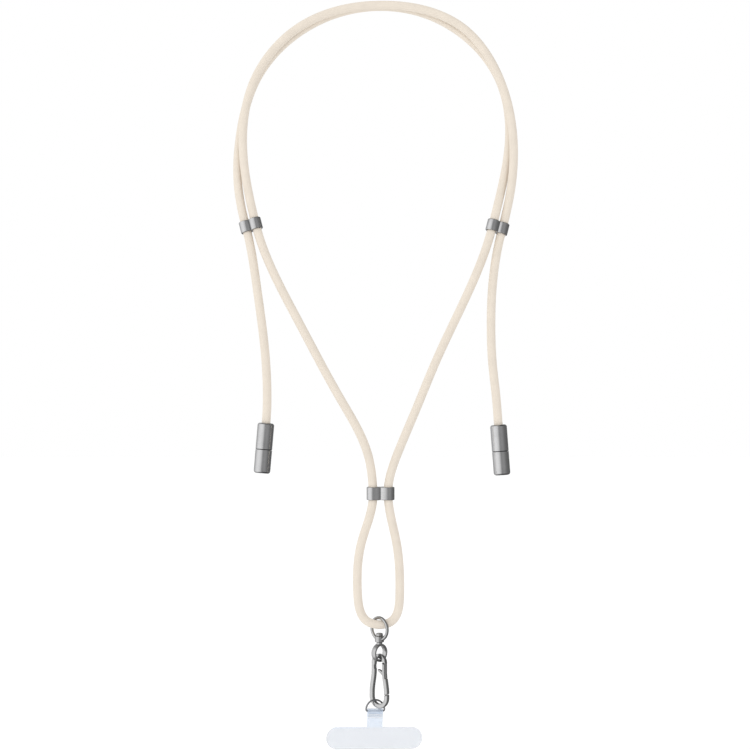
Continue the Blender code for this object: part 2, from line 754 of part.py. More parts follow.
def make_gate(axis, material):
    """Make the gate about its pivot, with the tongue in the fork and the thumb lever."""
    pivot_x, pivot_z = gate_pivot()
    top = FORK_END_RISE - GATE_GAP
    tip = GATE_GAP - nose_drop()
    path = []
    for i in range(11):
        height = top + (tip - top) * i / 10
        path.append((leg_offset(-height), height))
    section = soft_rectangle(HOOK_WIRE, HOOK_WIRE, HOOK_WIRE_EDGE)
    shape = sweep_flat(path, section, False, skew_start=FORK_SLOPE, skew_end=NOSE_SLOPE)
    radius = 0.5 * GATE_TONGUE_DIAMETER
    bmesh.ops.translate(shape, vec=(-pivot_x, 0.0, -pivot_z), verts=shape.verts)
    gate = add_piece("carabiner_gate", shape, material, axis)
    relief = outer_strip(SPINE_THICKNESS + SPIN_GAP, SPINE_DROP + SPIN_GAP, HOOK_WIRE, HOOK_WIRE)
    relief_place = (-pivot_x, 0.0, -pivot_z)
    combine(gate, "spine_relief", plate(relief, 2.0 * HOOK_WIRE), "DIFFERENCE", relief_place)
    tongue = tongue_outline(radius, GATE_STEM_REACH, top - pivot_z - radius)
    combine(gate, "gate_tongue", plate(tongue, GATE_TONGUE_THICKNESS), "UNION")
    hole = arc_points((0.0, 0.0), 0.5 * GATE_PIN_DIAMETER + SPIN_GAP, 0.0, 1.8 * math.pi, 9)
    combine(gate, "gate_hole", plate(hole, HOOK_WIRE), "DIFFERENCE")
    tip_x, tip_z = lever_tip()
    root_x = leg_offset(LEVER_DROP)
    rings = []
    for share, diameter in ((0.0, LEVER_ROOT_DIAMETER), (0.7, LEVER_ROOT_DIAMETER), (1.0, LEVER_TIP_DIAMETER)):
        x = root_x + (tip_x - root_x) * share - pivot_x
        z = -LEVER_DROP + (tip_z + LEVER_DROP) * share - pivot_z
        rings.append([
            (x + a * math.sin(LEVER_TILT), b, z + a * math.cos(LEVER_TILT))
            for a, b in round_section(diameter, 8)
        ])
    combine(gate, "gate_lever", loft(rings), "UNION")


def ring_bar_height():
    """Return the height of the ring's bar: the tab's fold over it just clears the carabiner's foot."""
    foot_outer = -foot_drop() - FOOT_RADIUS - 0.5 * HOOK_WIRE
    return foot_outer - SEAT_GAP - FILM - SPIN_GAP - 0.5 * RING_WIRE


def make_ring(frame, material):
    """Make the wire ring: a straight bar below and a round bow through the carabiner."""
    half = 0.5 * (RING_WIDTH - RING_WIRE)
    bar = ring_bar_height()
    quarter = 0.5 * math.pi
    rise = RING_HEIGHT - RING_WIRE - RING_CORNER
    path = arc_points((half - RING_CORNER, bar + RING_CORNER), RING_CORNER, -quarter, 0.0, 3)
    for i in range(1, 18):
        angle = math.pi * i / 18
        path.append((half * math.cos(angle), bar + RING_CORNER + rise * math.sin(angle)))
    path += arc_points((RING_CORNER - half, bar + RING_CORNER), RING_CORNER, math.pi, 3.0 * quarter, 3)
    add_piece("tab_ring", sweep_flat(path, round_section(RING_WIRE, 8), True), material, frame)


def make_tab(frame, material):
    """Make the film tab: a neck folded over the ring's bar and a long flat body below."""
    bar = ring_bar_height()
    inner = 0.5 * RING_WIRE + SPIN_GAP
    outer = inner + FILM
    fold_foot = bar - TAB_FOLD_LENGTH
    neck_foot = bar + outer - TAB_NECK_LENGTH
    half_neck = 0.5 * TAB_NECK_WIDTH
    loop_outer = arc_points((0.0, bar), outer, 0.0, math.pi, 10)
    loop_inner = arc_points((0.0, bar), inner, 0.0, math.pi, 10)
    outline = loop_outer + [(-FILM, fold_foot), (-FILM, neck_foot - FILM), (FILM, neck_foot - FILM), (FILM, fold_foot)]
    rings = [[(side * half_neck, y, z) for y, z in outline] for side in (-1.0, 1.0)]
    tab = add_piece("phone_tab", loft(rings), material, frame)
    tunnel = loop_inner + [(0.0, fold_foot + FILM)]
    beyond = half_neck + FILM
    rings = [[(side * beyond, y, z) for y, z in tunnel] for side in (-1.0, 1.0)]
    combine(tab, "bar_tunnel", loft(rings), "DIFFERENCE")
    corner = 0.5 * (TAB_BODY_HEIGHT - TAB_END_FLAT)
    reach = 0.5 * TAB_BODY_WIDTH - corner
    low = neck_foot - TAB_BODY_HEIGHT + corner
    high = neck_foot - corner
    quarter = 0.5 * math.pi
    body = arc_points((reach, low), corner, -quarter, 0.0, 8)
    body += arc_points((reach, high), corner, 0.0, quarter, 8)
    body += arc_points((-reach, high), corner, quarter, 2.0 * quarter, 8)
    body += arc_points((-reach, low), corner, 2.0 * quarter, 3.0 * quarter, 8)
    combine(tab, "tab_body", plate(body, FILM), "UNION")


def build():
    """Build the whole lanyard."""
    clear_scene()
    textile = make_material("cream_textile", (0.84, 0.77, 0.67), 0.85)
    metal = make_material("gunmetal", (0.40, 0.40, 0.40), 0.30, 1.0)
    steel = make_material("plug_steel", (0.70, 0.70, 0.71), 0.25, 1.0)
    film = make_material("tab_film", (0.84, 0.88, 0.94), 0.35, alpha=0.75)

    route = SmoothRoute(CABLE_ROUTE)
    make_cable(route, textile)
    for side in SLIDER_PLACES:
        make_slider(side, metal)
    make_plug("left", plug_frame(route, True), metal, steel)
    make_plug("right", plug_frame(route, False), metal, steel)

    loop_axis = add_axis("loop_axis", route.at(route.knot("hook_loop", HOOK_LOOP_BOTTOM)))
    make_upper_eye(loop_axis, metal)
    make_lower_eye(loop_axis, metal)
    hook_axis = add_axis("hook_axis", (0.0, 0.0, hook_center()), loop_axis, HOOK_TURN)
    make_carabiner(hook_axis, metal)
    pivot_x, pivot_z = gate_pivot()
    gate_axis = add_axis("gate_axis", (pivot_x, 0.0, pivot_z), hook_axis)
    make_gate(gate_axis, metal)
    ring_place = Matrix.Rotation(-HOOK_TURN, 3, "Z") @ Vector((-RING_LEFT, RING_BACK, 0.0))
    ring_frame = add_axis("ring_frame", ring_place, hook_axis, RING_TURN - HOOK_TURN)
    on_bar = Matrix.Translation((0.0, 0.0, ring_bar_height()))
    ring_frame.matrix_basis @= on_bar @ Matrix.Rotation(RING_TILT, 4, "Y") @ on_bar.inverted()
    make_ring(ring_frame, metal)
    make_tab(ring_frame, film)


build()
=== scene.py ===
import math

import bmesh
import bpy
import numpy as np
from mathutils import Matrix, Vector


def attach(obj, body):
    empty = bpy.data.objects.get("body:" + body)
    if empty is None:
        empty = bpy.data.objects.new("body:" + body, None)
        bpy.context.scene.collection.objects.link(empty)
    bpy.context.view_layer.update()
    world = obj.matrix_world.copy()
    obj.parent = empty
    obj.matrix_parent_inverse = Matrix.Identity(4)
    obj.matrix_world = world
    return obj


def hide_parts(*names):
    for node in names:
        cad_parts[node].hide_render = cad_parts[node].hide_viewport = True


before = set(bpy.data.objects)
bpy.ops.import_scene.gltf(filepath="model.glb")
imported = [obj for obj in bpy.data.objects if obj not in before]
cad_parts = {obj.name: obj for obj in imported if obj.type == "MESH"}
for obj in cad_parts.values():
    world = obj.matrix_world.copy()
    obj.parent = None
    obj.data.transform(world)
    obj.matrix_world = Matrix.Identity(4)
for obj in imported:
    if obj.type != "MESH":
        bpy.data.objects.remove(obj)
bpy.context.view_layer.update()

# The charging cable lanyard as it hangs from the neck. Lengths are in metres. The origin is where the
# strands rest on the nape, -Y is the wearer's front, +X is to the right seen from there, +Z is up.


# ------------------------------------------------------------
# Camera. It stands about a metre in front of the chest, level with the lanyard's middle, and looks
# straight at it. The picture is square.
SEEN_HALF_WIDTH = 0.23625
SEEN_AT = 0.950
camera = bpy.data.objects.new("camera", bpy.data.cameras.new("camera"))
camera.data.sensor_fit = "HORIZONTAL"
camera.data.angle = 2.0 * math.atan(SEEN_HALF_WIDTH / SEEN_AT)
camera.location = (-0.0020, -0.9900, -0.2394)
camera.rotation_euler = (math.radians(90.0), 0.0, 0.0)
bpy.context.scene.collection.objects.link(camera)
bpy.context.scene.camera = camera


# ------------------------------------------------------------
# Charging cable. A round cable in a fine braided textile sleeve, one piece from plug to plug. It runs
# up through the left slider, behind the nape, down to the center slider, round the hook's loop, back
# up and over the nape in front, and down to the right plug.
CABLE_DIAMETER = 0.0055
CABLE_SIDES = 24
CABLE_RING_STEP = 0.0013
CABLE_BORE_CLEARANCE = 0.0004
CABLE_SOCKET_DEPTH = 0.0040
SEAT_GAP = 0.0003
SIDE_SLIDER_PITCH = 0.0068
CENTER_SLIDER_PITCH = 0.0098
SIDE_SLIDER_HEIGHT = 0.0074
CENTER_SLIDER_HEIGHT = 0.0082
SIDE_SLIDER_LEAN = math.radians(8.0)
SIDE_SLIDER_TURN = math.radians(14.0)
SLIDER_PLACES = {
    "left": ((-0.0811, -0.0295, -0.1442), math.radians(-14.7), SIDE_SLIDER_LEAN, SIDE_SLIDER_TURN),
    "right": ((0.0760, -0.0295, -0.1453), math.radians(14.7), SIDE_SLIDER_LEAN, -SIDE_SLIDER_TURN),
    "center": ((0.0015, -0.0400, -0.3140), 0.0, 0.0, 0.0),
}
CABLE_ROUTE = {
    "left_end": [
        (-0.0712, -0.0365, -0.2734), (-0.0705, -0.0359, -0.2634), (-0.0703, -0.0354, -0.2500),
        (-0.0718, -0.0346, -0.2236), (-0.0768, -0.0328, -0.1852),
    ],
    "left_outer_pass": ("left", -1.0, 1.0),
    "neck_back": [
        (-0.0898, -0.0226, -0.1181), (-0.0893, -0.0123, -0.0831), (-0.0790, -0.0038, -0.0452),
        (-0.0310, 0.0030, -0.0028), (0.0329, 0.0030, -0.0024), (0.0787, -0.0038, -0.0452),
        (0.0851, -0.0123, -0.0831), (0.0796, -0.0226, -0.1181),
    ],
    "right_inner_pass": ("right", -1.0, -1.0),
    "right_strand": [(0.0368, -0.0378, -0.2300), (0.0237, -0.0394, -0.2615), (0.0119, -0.0400, -0.2898)],
    "center_right_pass": ("center", 1.0, -1.0),
    "hook_loop": [
        (0.0112, -0.0400, -0.3434), (0.0136, -0.0400, -0.3762), (0.0080, -0.0400, -0.3948),
        (-0.0065, -0.0400, -0.3948), (-0.0130, -0.0400, -0.3762), (-0.0101, -0.0400, -0.3434),
    ],
    "center_left_pass": ("center", -1.0, 1.0),
    "left_strand": [(-0.0064, -0.0400, -0.2898), (-0.0234, -0.0392, -0.2552), (-0.0509, -0.0365, -0.2046)],
    "left_inner_pass": ("left", 1.0, 1.0),
    "neck_front": [
        (-0.0837, -0.0258, -0.1185), (-0.0871, -0.0187, -0.0842), (-0.0797, -0.0106, -0.0465),
        (-0.0523, -0.0049, -0.0127), (0.0013, -0.0034, 0.0027), (0.0555, -0.0049, -0.0127),
        (0.0787, -0.0106, -0.0465), (0.0868, -0.0187, -0.0842), (0.0852, -0.0258, -0.1185),
    ],
    "right_outer_pass": ("right", 1.0, -1.0),
    "right_end": [
        (0.0742, -0.0322, -0.1691), (0.0715, -0.0350, -0.2110), (0.0724, -0.0362, -0.2330),
        (0.0745, -0.0373, -0.2530), (0.0754, -0.0380, -0.2646), (0.0761, -0.0385, -0.2744),
    ],
}


def slider_height(side):
    """Return the height of a slider."""
    return CENTER_SLIDER_HEIGHT if side == "center" else SIDE_SLIDER_HEIGHT


def slider_pitch(side):
    """Return the distance between a slider's two bores."""
    return CENTER_SLIDER_PITCH if side == "center" else SIDE_SLIDER_PITCH


def slider_frame(side):
    """Return the frame of a slider, with X from its left bore to its right bore and Z along the bores."""
    center, tilt, lean, turn = SLIDER_PLACES[side]
    along = Matrix.Rotation(tilt, 4, "Y") @ Matrix.Rotation(-lean, 4, "X")
    return Matrix.Translation(center) @ along @ Matrix.Rotation(-turn, 4, "Z")


def bore_ends(side, hand, way):
    """Return two points on a bore's axis, just outside its ends, in the order in which the cable runs."""
    reach = 0.5 * slider_height(side) + SEAT_GAP
    across = hand * 0.5 * slider_pitch(side)
    return [tuple(slider_frame(side) @ Vector((across, 0.0, way * reach * end))) for end in (-1.0, 1.0)]


# The centre line is one cubic for each span between two points of the route, joined without kinks. A
# mark is a place on it, counted along the straight spans, and bends holds its second derivatives.
route = []
loop_start = 0
for stretch_name, stretch in CABLE_ROUTE.items():
    if stretch_name == "hook_loop":
        loop_start = len(route)
    route.extend(bore_ends(*stretch) if stretch_name.endswith("_pass") else stretch)
route = np.array(route)
spans = np.linalg.norm(np.diff(route, axis=0), axis=1)
knots = np.concatenate(([0.0], np.cumsum(spans)))
system = np.eye(len(route))
target = np.zeros((len(route), 3))
for i in range(1, len(route) - 1):
    system[i, i - 1:i + 2] = spans[i - 1], 2.0 * (spans[i - 1] + spans[i]), spans[i]
    target[i] = 6.0 * ((route[i + 1] - route[i]) / spans[i] - (route[i] - route[i - 1]) / spans[i - 1])
bends = np.linalg.solve(system, target)


def cable_at(marks):
    """Return the points of the cable's centre line at marks on it."""
    i = np.clip(np.searchsorted(knots, marks) - 1, 0, len(knots) - 2)
    step = spans[i][:, None]
    late = (marks - knots[i])[:, None] / step
    early = 1.0 - late
    lift = (early ** 3 - early) * bends[i] + (late ** 3 - late) * bends[i + 1]
    return early * route[i] + late * route[i + 1] + lift * step ** 2 / 6.0


def whole_turn(count):
    """Return the angles of points spaced evenly round a circle."""
    return [2.0 * math.pi * i / count for i in range(count)]


def skin(rings, marks=None):
    """Return a closed shape through rings of equal point counts, its two ends faced.

    Its UV map "surface" runs once round each ring in U, and in V by the metres from ring to ring.
    """
    shape = bmesh.new()
    surface = shape.loops.layers.uv.new("surface")
    if marks is None:
        marks = [0.0]
        for first, second in zip(rings, rings[1:]):
            marks.append(marks[-1] + (Vector(second[0]) - Vector(first[0])).length)
    rows = [[shape.verts.new(point) for point in ring] for ring in rings]
    count = len(rows[0])
    shape.faces.new(rows[0])
    shape.faces.new(rows[-1])
    for r in range(len(rows) - 1):
        near, far = rows[r], rows[r + 1]
        for i in range(count):
            j = (i + 1) % count
            face = shape.faces.new((near[i], near[j], far[j], far[i]))
            for loop, u, v in zip(face.loops, (i, i + 1, i + 1, i), (r, r, r + 1, r + 1)):
                loop[surface].uv = (u / count, marks[v])
    bmesh.ops.recalc_face_normals(shape, faces=shape.faces)
    return shape


SHARP_ANGLE = math.radians(32.0)


def make_piece(name, shape, finish, place=None, sharp=SHARP_ANGLE):
    """Return a shape as a named object, with its place in its mesh and only its sharper edges sharp."""
    if place is not None:
        bmesh.ops.transform(shape, matrix=place, verts=shape.verts)
    mesh = bpy.data.meshes.new(name)
    shape.to_mesh(mesh)
    shape.free()
    mesh.materials.append(finish)
    mesh.shade_smooth()
    mesh.set_sharp_from_angle(angle=sharp)
    thing = bpy.data.objects.new(name, mesh)
    bpy.context.scene.collection.objects.link(thing)
    return thing


def add_node(tree, kind, inputs=None, **settings):
    """Return a new node with its settings, its inputs given as numbers or as outputs of other nodes."""
    made = tree.nodes.new(kind)
    for setting, value in settings.items():
        setattr(made, setting, value)
    for socket, value in (inputs or {}).items():
        if isinstance(value, bpy.types.NodeSocket):
            tree.links.new(value, made.inputs[socket])
        else:
            made.inputs[socket].default_value = value
    return made


def maths(tree, operation, *values):
    """Return the output of a sum done on numbers or outputs."""
    return add_node(tree, "ShaderNodeMath", dict(enumerate(values)), operation=operation).outputs[0]


def ranged(tree, value, low, high, out_low, out_high, smooth=False):
    """Return a value moved from one range to another and held within it."""
    kind = "SMOOTHSTEP" if smooth else "LINEAR"
    inputs = {"Value": value, "From Min": low, "From Max": high, "To Min": out_low, "To Max": out_high}
    return add_node(tree, "ShaderNodeMapRange", inputs, interpolation_type=kind).outputs["Result"]


def grain(tree, spot, scale, detail=2.0):
    """Return even noise from 0 to 1 at a scale per metre."""
    inputs = {"Vector": spot, "Scale": scale, "Detail": detail}
    return add_node(tree, "ShaderNodeTexNoise", inputs).outputs["Fac"]


def tinted(tree, color, tone):
    """Return a color made lighter or darker by a tone round 1."""
    return add_node(tree, "ShaderNodeVectorMath", {0: color, "Scale": tone}, operation="SCALE").outputs[0]


def start_finish(name):
    """Return a new material, its node tree, its Principled shader and the spot on the piece."""
    finish = bpy.data.materials.new(name)
    finish.use_nodes = True
    tree = finish.node_tree
    spot = add_node(tree, "ShaderNodeTexCoord").outputs["Object"]
    return finish, tree, tree.nodes["Principled BSDF"], spot


def emboss(tree, shader, height, strength, depth):
    """Give a shader a relief."""
    relief = add_node(tree, "ShaderNodeBump", {"Height": height, "Strength": strength, "Distance": depth})
    tree.links.new(relief.outputs[0], shader.inputs["Normal"])


# The sleeve's yarns cross over and under each other on the slant, under a fine fuzz and faint blotches.
# A grain is given per metre, and tones and roughness as what the lowest and the highest spots get; the
# yarns' tone is painted shade in the valleys between them and a painted highlight on their crests.
YARNS_ROUND = 22
YARN_PITCH = 0.00080
YARN_RELIEF = 0.00009
YARN_BUMP = 0.20
YARN_SHADE_TONES = (0.975, 1.010)
YARN_ROUGHNESS = (0.92, 0.80)
FUZZ_GRAIN = 5200.0
FUZZ_TONES = (0.97, 1.03)
FUZZ_HEIGHT = 0.35
BLOTCH_GRAIN = 150.0
BLOTCH_TONES = (0.975, 1.025)
CREAM = (0.748, 0.675, 0.585)
cream_textile, tree, shader, spot = start_finish("cream_textile")
sleeve_map = add_node(tree, "ShaderNodeUVMap", uv_map="surface").outputs[0]
surface = add_node(tree, "ShaderNodeSeparateXYZ", {0: sleeve_map})
around = maths(tree, "MULTIPLY", surface.outputs["X"], YARNS_ROUND)
along = maths(tree, "DIVIDE", surface.outputs["Y"], YARN_PITCH)
right_hand = maths(tree, "ADD", around, along)
left_hand = maths(tree, "SUBTRACT", around, along)
rounds = []
for lay in (right_hand, left_hand):
    rounds.append(maths(tree, "SINE", maths(tree, "MULTIPLY", maths(tree, "FRACT", lay), math.pi)))
crossing = maths(tree, "ADD", maths(tree, "FLOOR", right_hand), maths(tree, "FLOOR", left_hand))
over = maths(tree, "GREATER_THAN", maths(tree, "FRACT", maths(tree, "MULTIPLY", crossing, 0.5)), 0.25)
yarn = add_node(tree, "ShaderNodeMix", {"Factor": over, "A": rounds[0], "B": rounds[1]}).outputs["Result"]
fuzz = grain(tree, spot, FUZZ_GRAIN, 3.0)
blotch = grain(tree, spot, BLOTCH_GRAIN, 3.0)
# Painted shade between the yarns and painted highlight on their crests, following the yarns' height.
yarn_shade_tone = ranged(tree, yarn, 0.0, 1.0, *YARN_SHADE_TONES)
blotch_tone = ranged(tree, blotch, 0.3, 0.7, *BLOTCH_TONES)
fuzz_tone = ranged(tree, fuzz, 0.25, 0.75, *FUZZ_TONES)
tone = maths(tree, "MULTIPLY", maths(tree, "MULTIPLY", yarn_shade_tone, blotch_tone), fuzz_tone)
tree.links.new(tinted(tree, CREAM, tone), shader.inputs["Base Color"])
height = maths(tree, "ADD", yarn, maths(tree, "MULTIPLY", fuzz, FUZZ_HEIGHT))
emboss(tree, shader, height, YARN_BUMP, YARN_RELIEF)
tree.links.new(ranged(tree, yarn, 0.0, 1.0, *YARN_ROUGHNESS), shader.inputs["Roughness"])
shader.inputs["Specular IOR Level"].default_value = 0.25
shader.inputs["Sheen Weight"].default_value = 0.15
shader.inputs["Sheen Roughness"].default_value = 0.45

# Rings of the sleeve stand evenly along the line, whose length is summed up over fine steps.
FINE_STEPS = 8000
fine_marks = np.linspace(0.0, knots[-1], FINE_STEPS + 1)
fine_line = cable_at(fine_marks)
run = np.concatenate(([0.0], np.cumsum(np.linalg.norm(np.diff(fine_line, axis=0), axis=1))))
cable_length = float(run[-1])
ring_count = round(cable_length / CABLE_RING_STEP) + 1
ring_runs = np.linspace(0.0, cable_length, ring_count)
cable_line = cable_at(np.interp(ring_runs, run, fine_marks))
headings = np.gradient(cable_line, axis=0)
headings /= np.linalg.norm(headings, axis=1)[:, None]
cable_rings = []
side = Vector((0.0, -1.0, 0.0))
for center, heading in zip(cable_line, headings):
    heading = Vector(heading)
    side = (side - heading * side.dot(heading)).normalized()
    other = heading.cross(side)
    cable_rings.append([
        Vector(center) + 0.5 * CABLE_DIAMETER * (side * math.cos(turn) + other * math.sin(turn))
        for turn in whole_turn(CABLE_SIDES)
    ])
sleeve = skin(cable_rings, marks=list(ring_runs))
cable = make_piece("textile_cable", sleeve, cream_textile, sharp=math.radians(60.0))
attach(cable, "lanyard")
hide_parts("charging_cable")


# ------------------------------------------------------------
# Studio. A white room with a wide soft window on the left, seen in the metal as a bright band with a
# clear edge, and a dimmer room on the right. The floor is plain and pale.
WINDOW_STRENGTH = 1.6
# Degrees round the room, from behind over the left, the front and the right, with the level of light.
WINDOW_STOPS = [
    (-180.0, 0.42), (-150.0, 0.40), (-125.0, 0.48), (-103.0, 0.76), (-80.0, 0.94), (-53.0, 0.95),
    (-36.0, 0.86), (-18.0, 0.68), (-6.0, 0.34), (5.0, 0.29), (24.0, 0.33), (40.0, 0.31), (56.0, 0.24),
    (80.0, 0.165), (130.0, 0.13), (180.0, 0.16),
]
CEILING_FADE = (0.55, 0.92)
CEILING_SHARE = 0.30
EVEN_LIGHT = (1.12, 0.88)
SOFTBOX_SIZE = 0.7
SOFTBOX_POWER = 2.2
SOFTBOX_PLACE = (-0.75, -0.95, 0.35)
SOFTBOX_AIM = (0.0, 0.0, -0.2)
FLOOR_HALF_WIDTH = 6.0
FLOOR_LEVEL = -0.62
FLOOR_COLOR = (0.93, 0.93, 0.93)
FLOOR_GRAIN = 3.0
FLOOR_GLOW = 0.15

world = bpy.data.worlds.new("studio")
bpy.context.scene.world = world
world.use_nodes = True
tree = world.node_tree
tree.nodes.clear()
room = add_node(tree, "ShaderNodeTexCoord").outputs["Generated"]
facing = add_node(tree, "ShaderNodeSeparateXYZ", {0: room})
turn = maths(tree, "ARCTAN2", facing.outputs["X"], maths(tree, "MULTIPLY", facing.outputs["Y"], -1.0))
windows = add_node(tree, "ShaderNodeValToRGB", {0: ranged(tree, turn, -math.pi, math.pi, 0.0, 1.0)})
stops = windows.color_ramp.elements
while len(stops) < len(WINDOW_STOPS):
    stops.new(0.5)
for stop, (degrees, level) in zip(stops, WINDOW_STOPS):
    stop.position = (degrees + 180.0) / 360.0
    stop.color = (level, level, level, 1.0)
steep = maths(tree, "ABSOLUTE", facing.outputs["Z"])
shade = ranged(tree, steep, *CEILING_FADE, WINDOW_STRENGTH, CEILING_SHARE * WINDOW_STRENGTH, smooth=True)
mirrored = maths(tree, "MULTIPLY", windows.outputs["Color"], shade)
even = ranged(tree, facing.outputs["X"], -1.0, 1.0, *EVEN_LIGHT)
rays = add_node(tree, "ShaderNodeLightPath").outputs
reflected, seen = rays["Is Glossy Ray"], rays["Is Camera Ray"]
light = add_node(tree, "ShaderNodeMix", {"Factor": reflected, "A": even, "B": mirrored}).outputs[0]
light = add_node(tree, "ShaderNodeMix", {"Factor": seen, "A": light, "B": 1.0}).outputs[0]
sky = add_node(tree, "ShaderNodeBackground", {"Color": (1.0, 1.0, 1.0, 1.0), "Strength": light})
add_node(tree, "ShaderNodeOutputWorld", {"Surface": sky.outputs[0]})
bpy.context.scene.view_settings.view_transform = "Standard"

softbox = bpy.data.objects.new("softbox", bpy.data.lights.new("softbox", "AREA"))
softbox.data.size = SOFTBOX_SIZE
softbox.data.energy = SOFTBOX_POWER
softbox.location = SOFTBOX_PLACE
softbox.rotation_euler = (Vector(SOFTBOX_AIM) - softbox.location).to_track_quat("-Z", "Y").to_euler()
softbox.visible_glossy = False
bpy.context.scene.collection.objects.link(softbox)

pale_floor, tree, shader, spot = start_finish("pale_floor")
tone = ranged(tree, grain(tree, spot, FLOOR_GRAIN), 0.3, 0.7, 0.995, 1.0)
tree.links.new(tinted(tree, FLOOR_COLOR, tone), shader.inputs["Base Color"])
shader.inputs["Roughness"].default_value = 0.9
shader.inputs["Emission Color"].default_value = (1.0, 1.0, 1.0, 1.0)
shader.inputs["Emission Strength"].default_value = FLOOR_GLOW
floor_sheet = bmesh.new()
bmesh.ops.create_grid(floor_sheet, x_segments=8, y_segments=8, size=FLOOR_HALF_WIDTH)
floor = make_piece("floor", floor_sheet, pale_floor, Matrix.Translation((0.0, 0.0, FLOOR_LEVEL)))
floor.visible_glossy = False


# ------------------------------------------------------------
# Sliders. Three short metal clips, each two tubes side by side with a crease between them, the center
# one wider. They are cut from drawn bar, plated gunmetal, and slide on the two strands that they hold.
SLIDER_LOBE_DIAMETER = 0.0078
SLIDER_CREASE_THICKNESS = 0.0048
SLIDER_RIM = 0.0005
SLIDER_BORE_SIDES = 48
METAL_CLOUD_GRAIN = 210.0
METAL_BUMP = 0.35


def satin_metal(name, color, roughness, grit, depth):
    """Return a plated metal with a fine blasted grit, given per metre, and faint clouds in its tone."""
    finish, tree, shader, spot = start_finish(name)
    fine = grain(tree, spot, grit)
    cloud = grain(tree, spot, METAL_CLOUD_GRAIN, 3.0)
    cloud_tone = ranged(tree, cloud, 0.3, 0.7, 0.95, 1.05)
    fine_tone = ranged(tree, fine, 0.2, 0.8, 0.96, 1.04)
    tone = maths(tree, "MULTIPLY", cloud_tone, fine_tone)
    tree.links.new(tinted(tree, color, tone), shader.inputs["Base Color"])
    fine_gloss = ranged(tree, fine, 0.2, 0.8, -0.03, 0.03)
    cloud_gloss = ranged(tree, cloud, 0.3, 0.7, -0.03, 0.03)
    gloss = maths(tree, "ADD", fine_gloss, cloud_gloss)
    tree.links.new(maths(tree, "ADD", gloss, roughness), shader.inputs["Roughness"])
    emboss(tree, shader, fine, METAL_BUMP, depth)
    shader.inputs["Metallic"].default_value = 1.0
    return finish


gunmetal = satin_metal("gunmetal", color=(0.450, 0.450, 0.455), roughness=0.20, grit=9000.0, depth=0.000006)


def turned(profile, sides=72):
    """Return the body of revolution about Z whose profile is a run of (radius, height) points."""
    turns = whole_turn(sides)
    return skin([[(r * math.cos(turn), r * math.sin(turn), z) for turn in turns] for r, z in profile])


def quarter_turn(steps):
    """Return the angles of the points of a rounded edge."""
    return [0.5 * math.pi * i / steps for i in range(steps + 1)]


def arc_points(center, radius, start, end, steps):
    """Return the points of an arc between two angles."""
    angles = [start + (end - start) * i / steps for i in range(steps + 1)]
    x, y = center
    return [(x + radius * math.cos(angle), y + radius * math.sin(angle)) for angle in angles]


def carve(piece, operation, shape, place=None):
    """Join a shape to a piece, or cut it from the piece, for good."""
    guide = make_piece("guide", shape, piece.data.materials[0], place)
    step = piece.modifiers.new("carve", "BOOLEAN")
    step.operation = operation
    step.solver = "EXACT"
    step.object = guide
    result = bpy.data.meshes.new_from_object(piece.evaluated_get(bpy.context.evaluated_depsgraph_get()))
    piece.modifiers.clear()
    spare = piece.data
    piece.data = result
    bpy.data.meshes.remove(spare)
    bpy.data.objects.remove(guide)
    result.name = piece.name
    result.shade_smooth()
    result.set_sharp_from_angle(angle=SHARP_ANGLE)


def slider_outline(inset, pitch):
    """Return the (x, y) outline of a slider, two lobes that meet in a crease, drawn in by an inset."""
    radius = 0.5 * SLIDER_LOBE_DIAMETER - inset
    crease = 0.5 * SLIDER_CREASE_THICKNESS - inset
    half = 0.5 * pitch
    reach = half / math.sqrt(1.0 - (crease / radius) ** 2)
    inner = [half * i / 12 for i in range(12)]
    slope = [(x, radius * math.sqrt(1.0 - ((half - x) / reach) ** 2)) for x in inner]
    lobe = slope + arc_points((half, 0.0), radius, 0.5 * math.pi, -0.5 * math.pi, 28)
    lobe += [(x, -y) for x, y in reversed(slope[1:])]
    return lobe + [(-x, -y) for x, y in lobe]


for name in SLIDER_PLACES:
    half = 0.5 * slider_height(name)
    pitch = slider_pitch(name)
    foot_levels = []
    for turn in quarter_turn(4):
        foot_levels.append((SLIDER_RIM * (1.0 - math.cos(turn)) - half, SLIDER_RIM * (1.0 - math.sin(turn))))
    levels = foot_levels + [(-level, inset) for level, inset in reversed(foot_levels)]
    clip = skin([[(x, y, level) for x, y in slider_outline(inset, pitch)] for level, inset in levels])
    slider = make_piece(f"slider_clip_{name}", clip, gunmetal)
    bore = 0.5 * CABLE_DIAMETER + CABLE_BORE_CLEARANCE
    flare = 0.5 * SLIDER_RIM
    mouth = [(bore + flare, -half - SLIDER_RIM)]
    for turn in quarter_turn(4):
        mouth.append((bore + flare * (1.0 - math.sin(turn)), -half + flare * (1.0 - math.cos(turn))))
    bore_profile = mouth + [(r, -z) for r, z in reversed(mouth)]
    for hand in (-1.0, 1.0):
        bore_place = Matrix.Translation((hand * 0.5 * pitch, 0.0, 0.0))
        carve(slider, "DIFFERENCE", turned(bore_profile, SLIDER_BORE_SIDES), bore_place)
    slider.data.transform(slider_frame(name))
    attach(slider, "lanyard")
    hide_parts(f"slider_{name}")


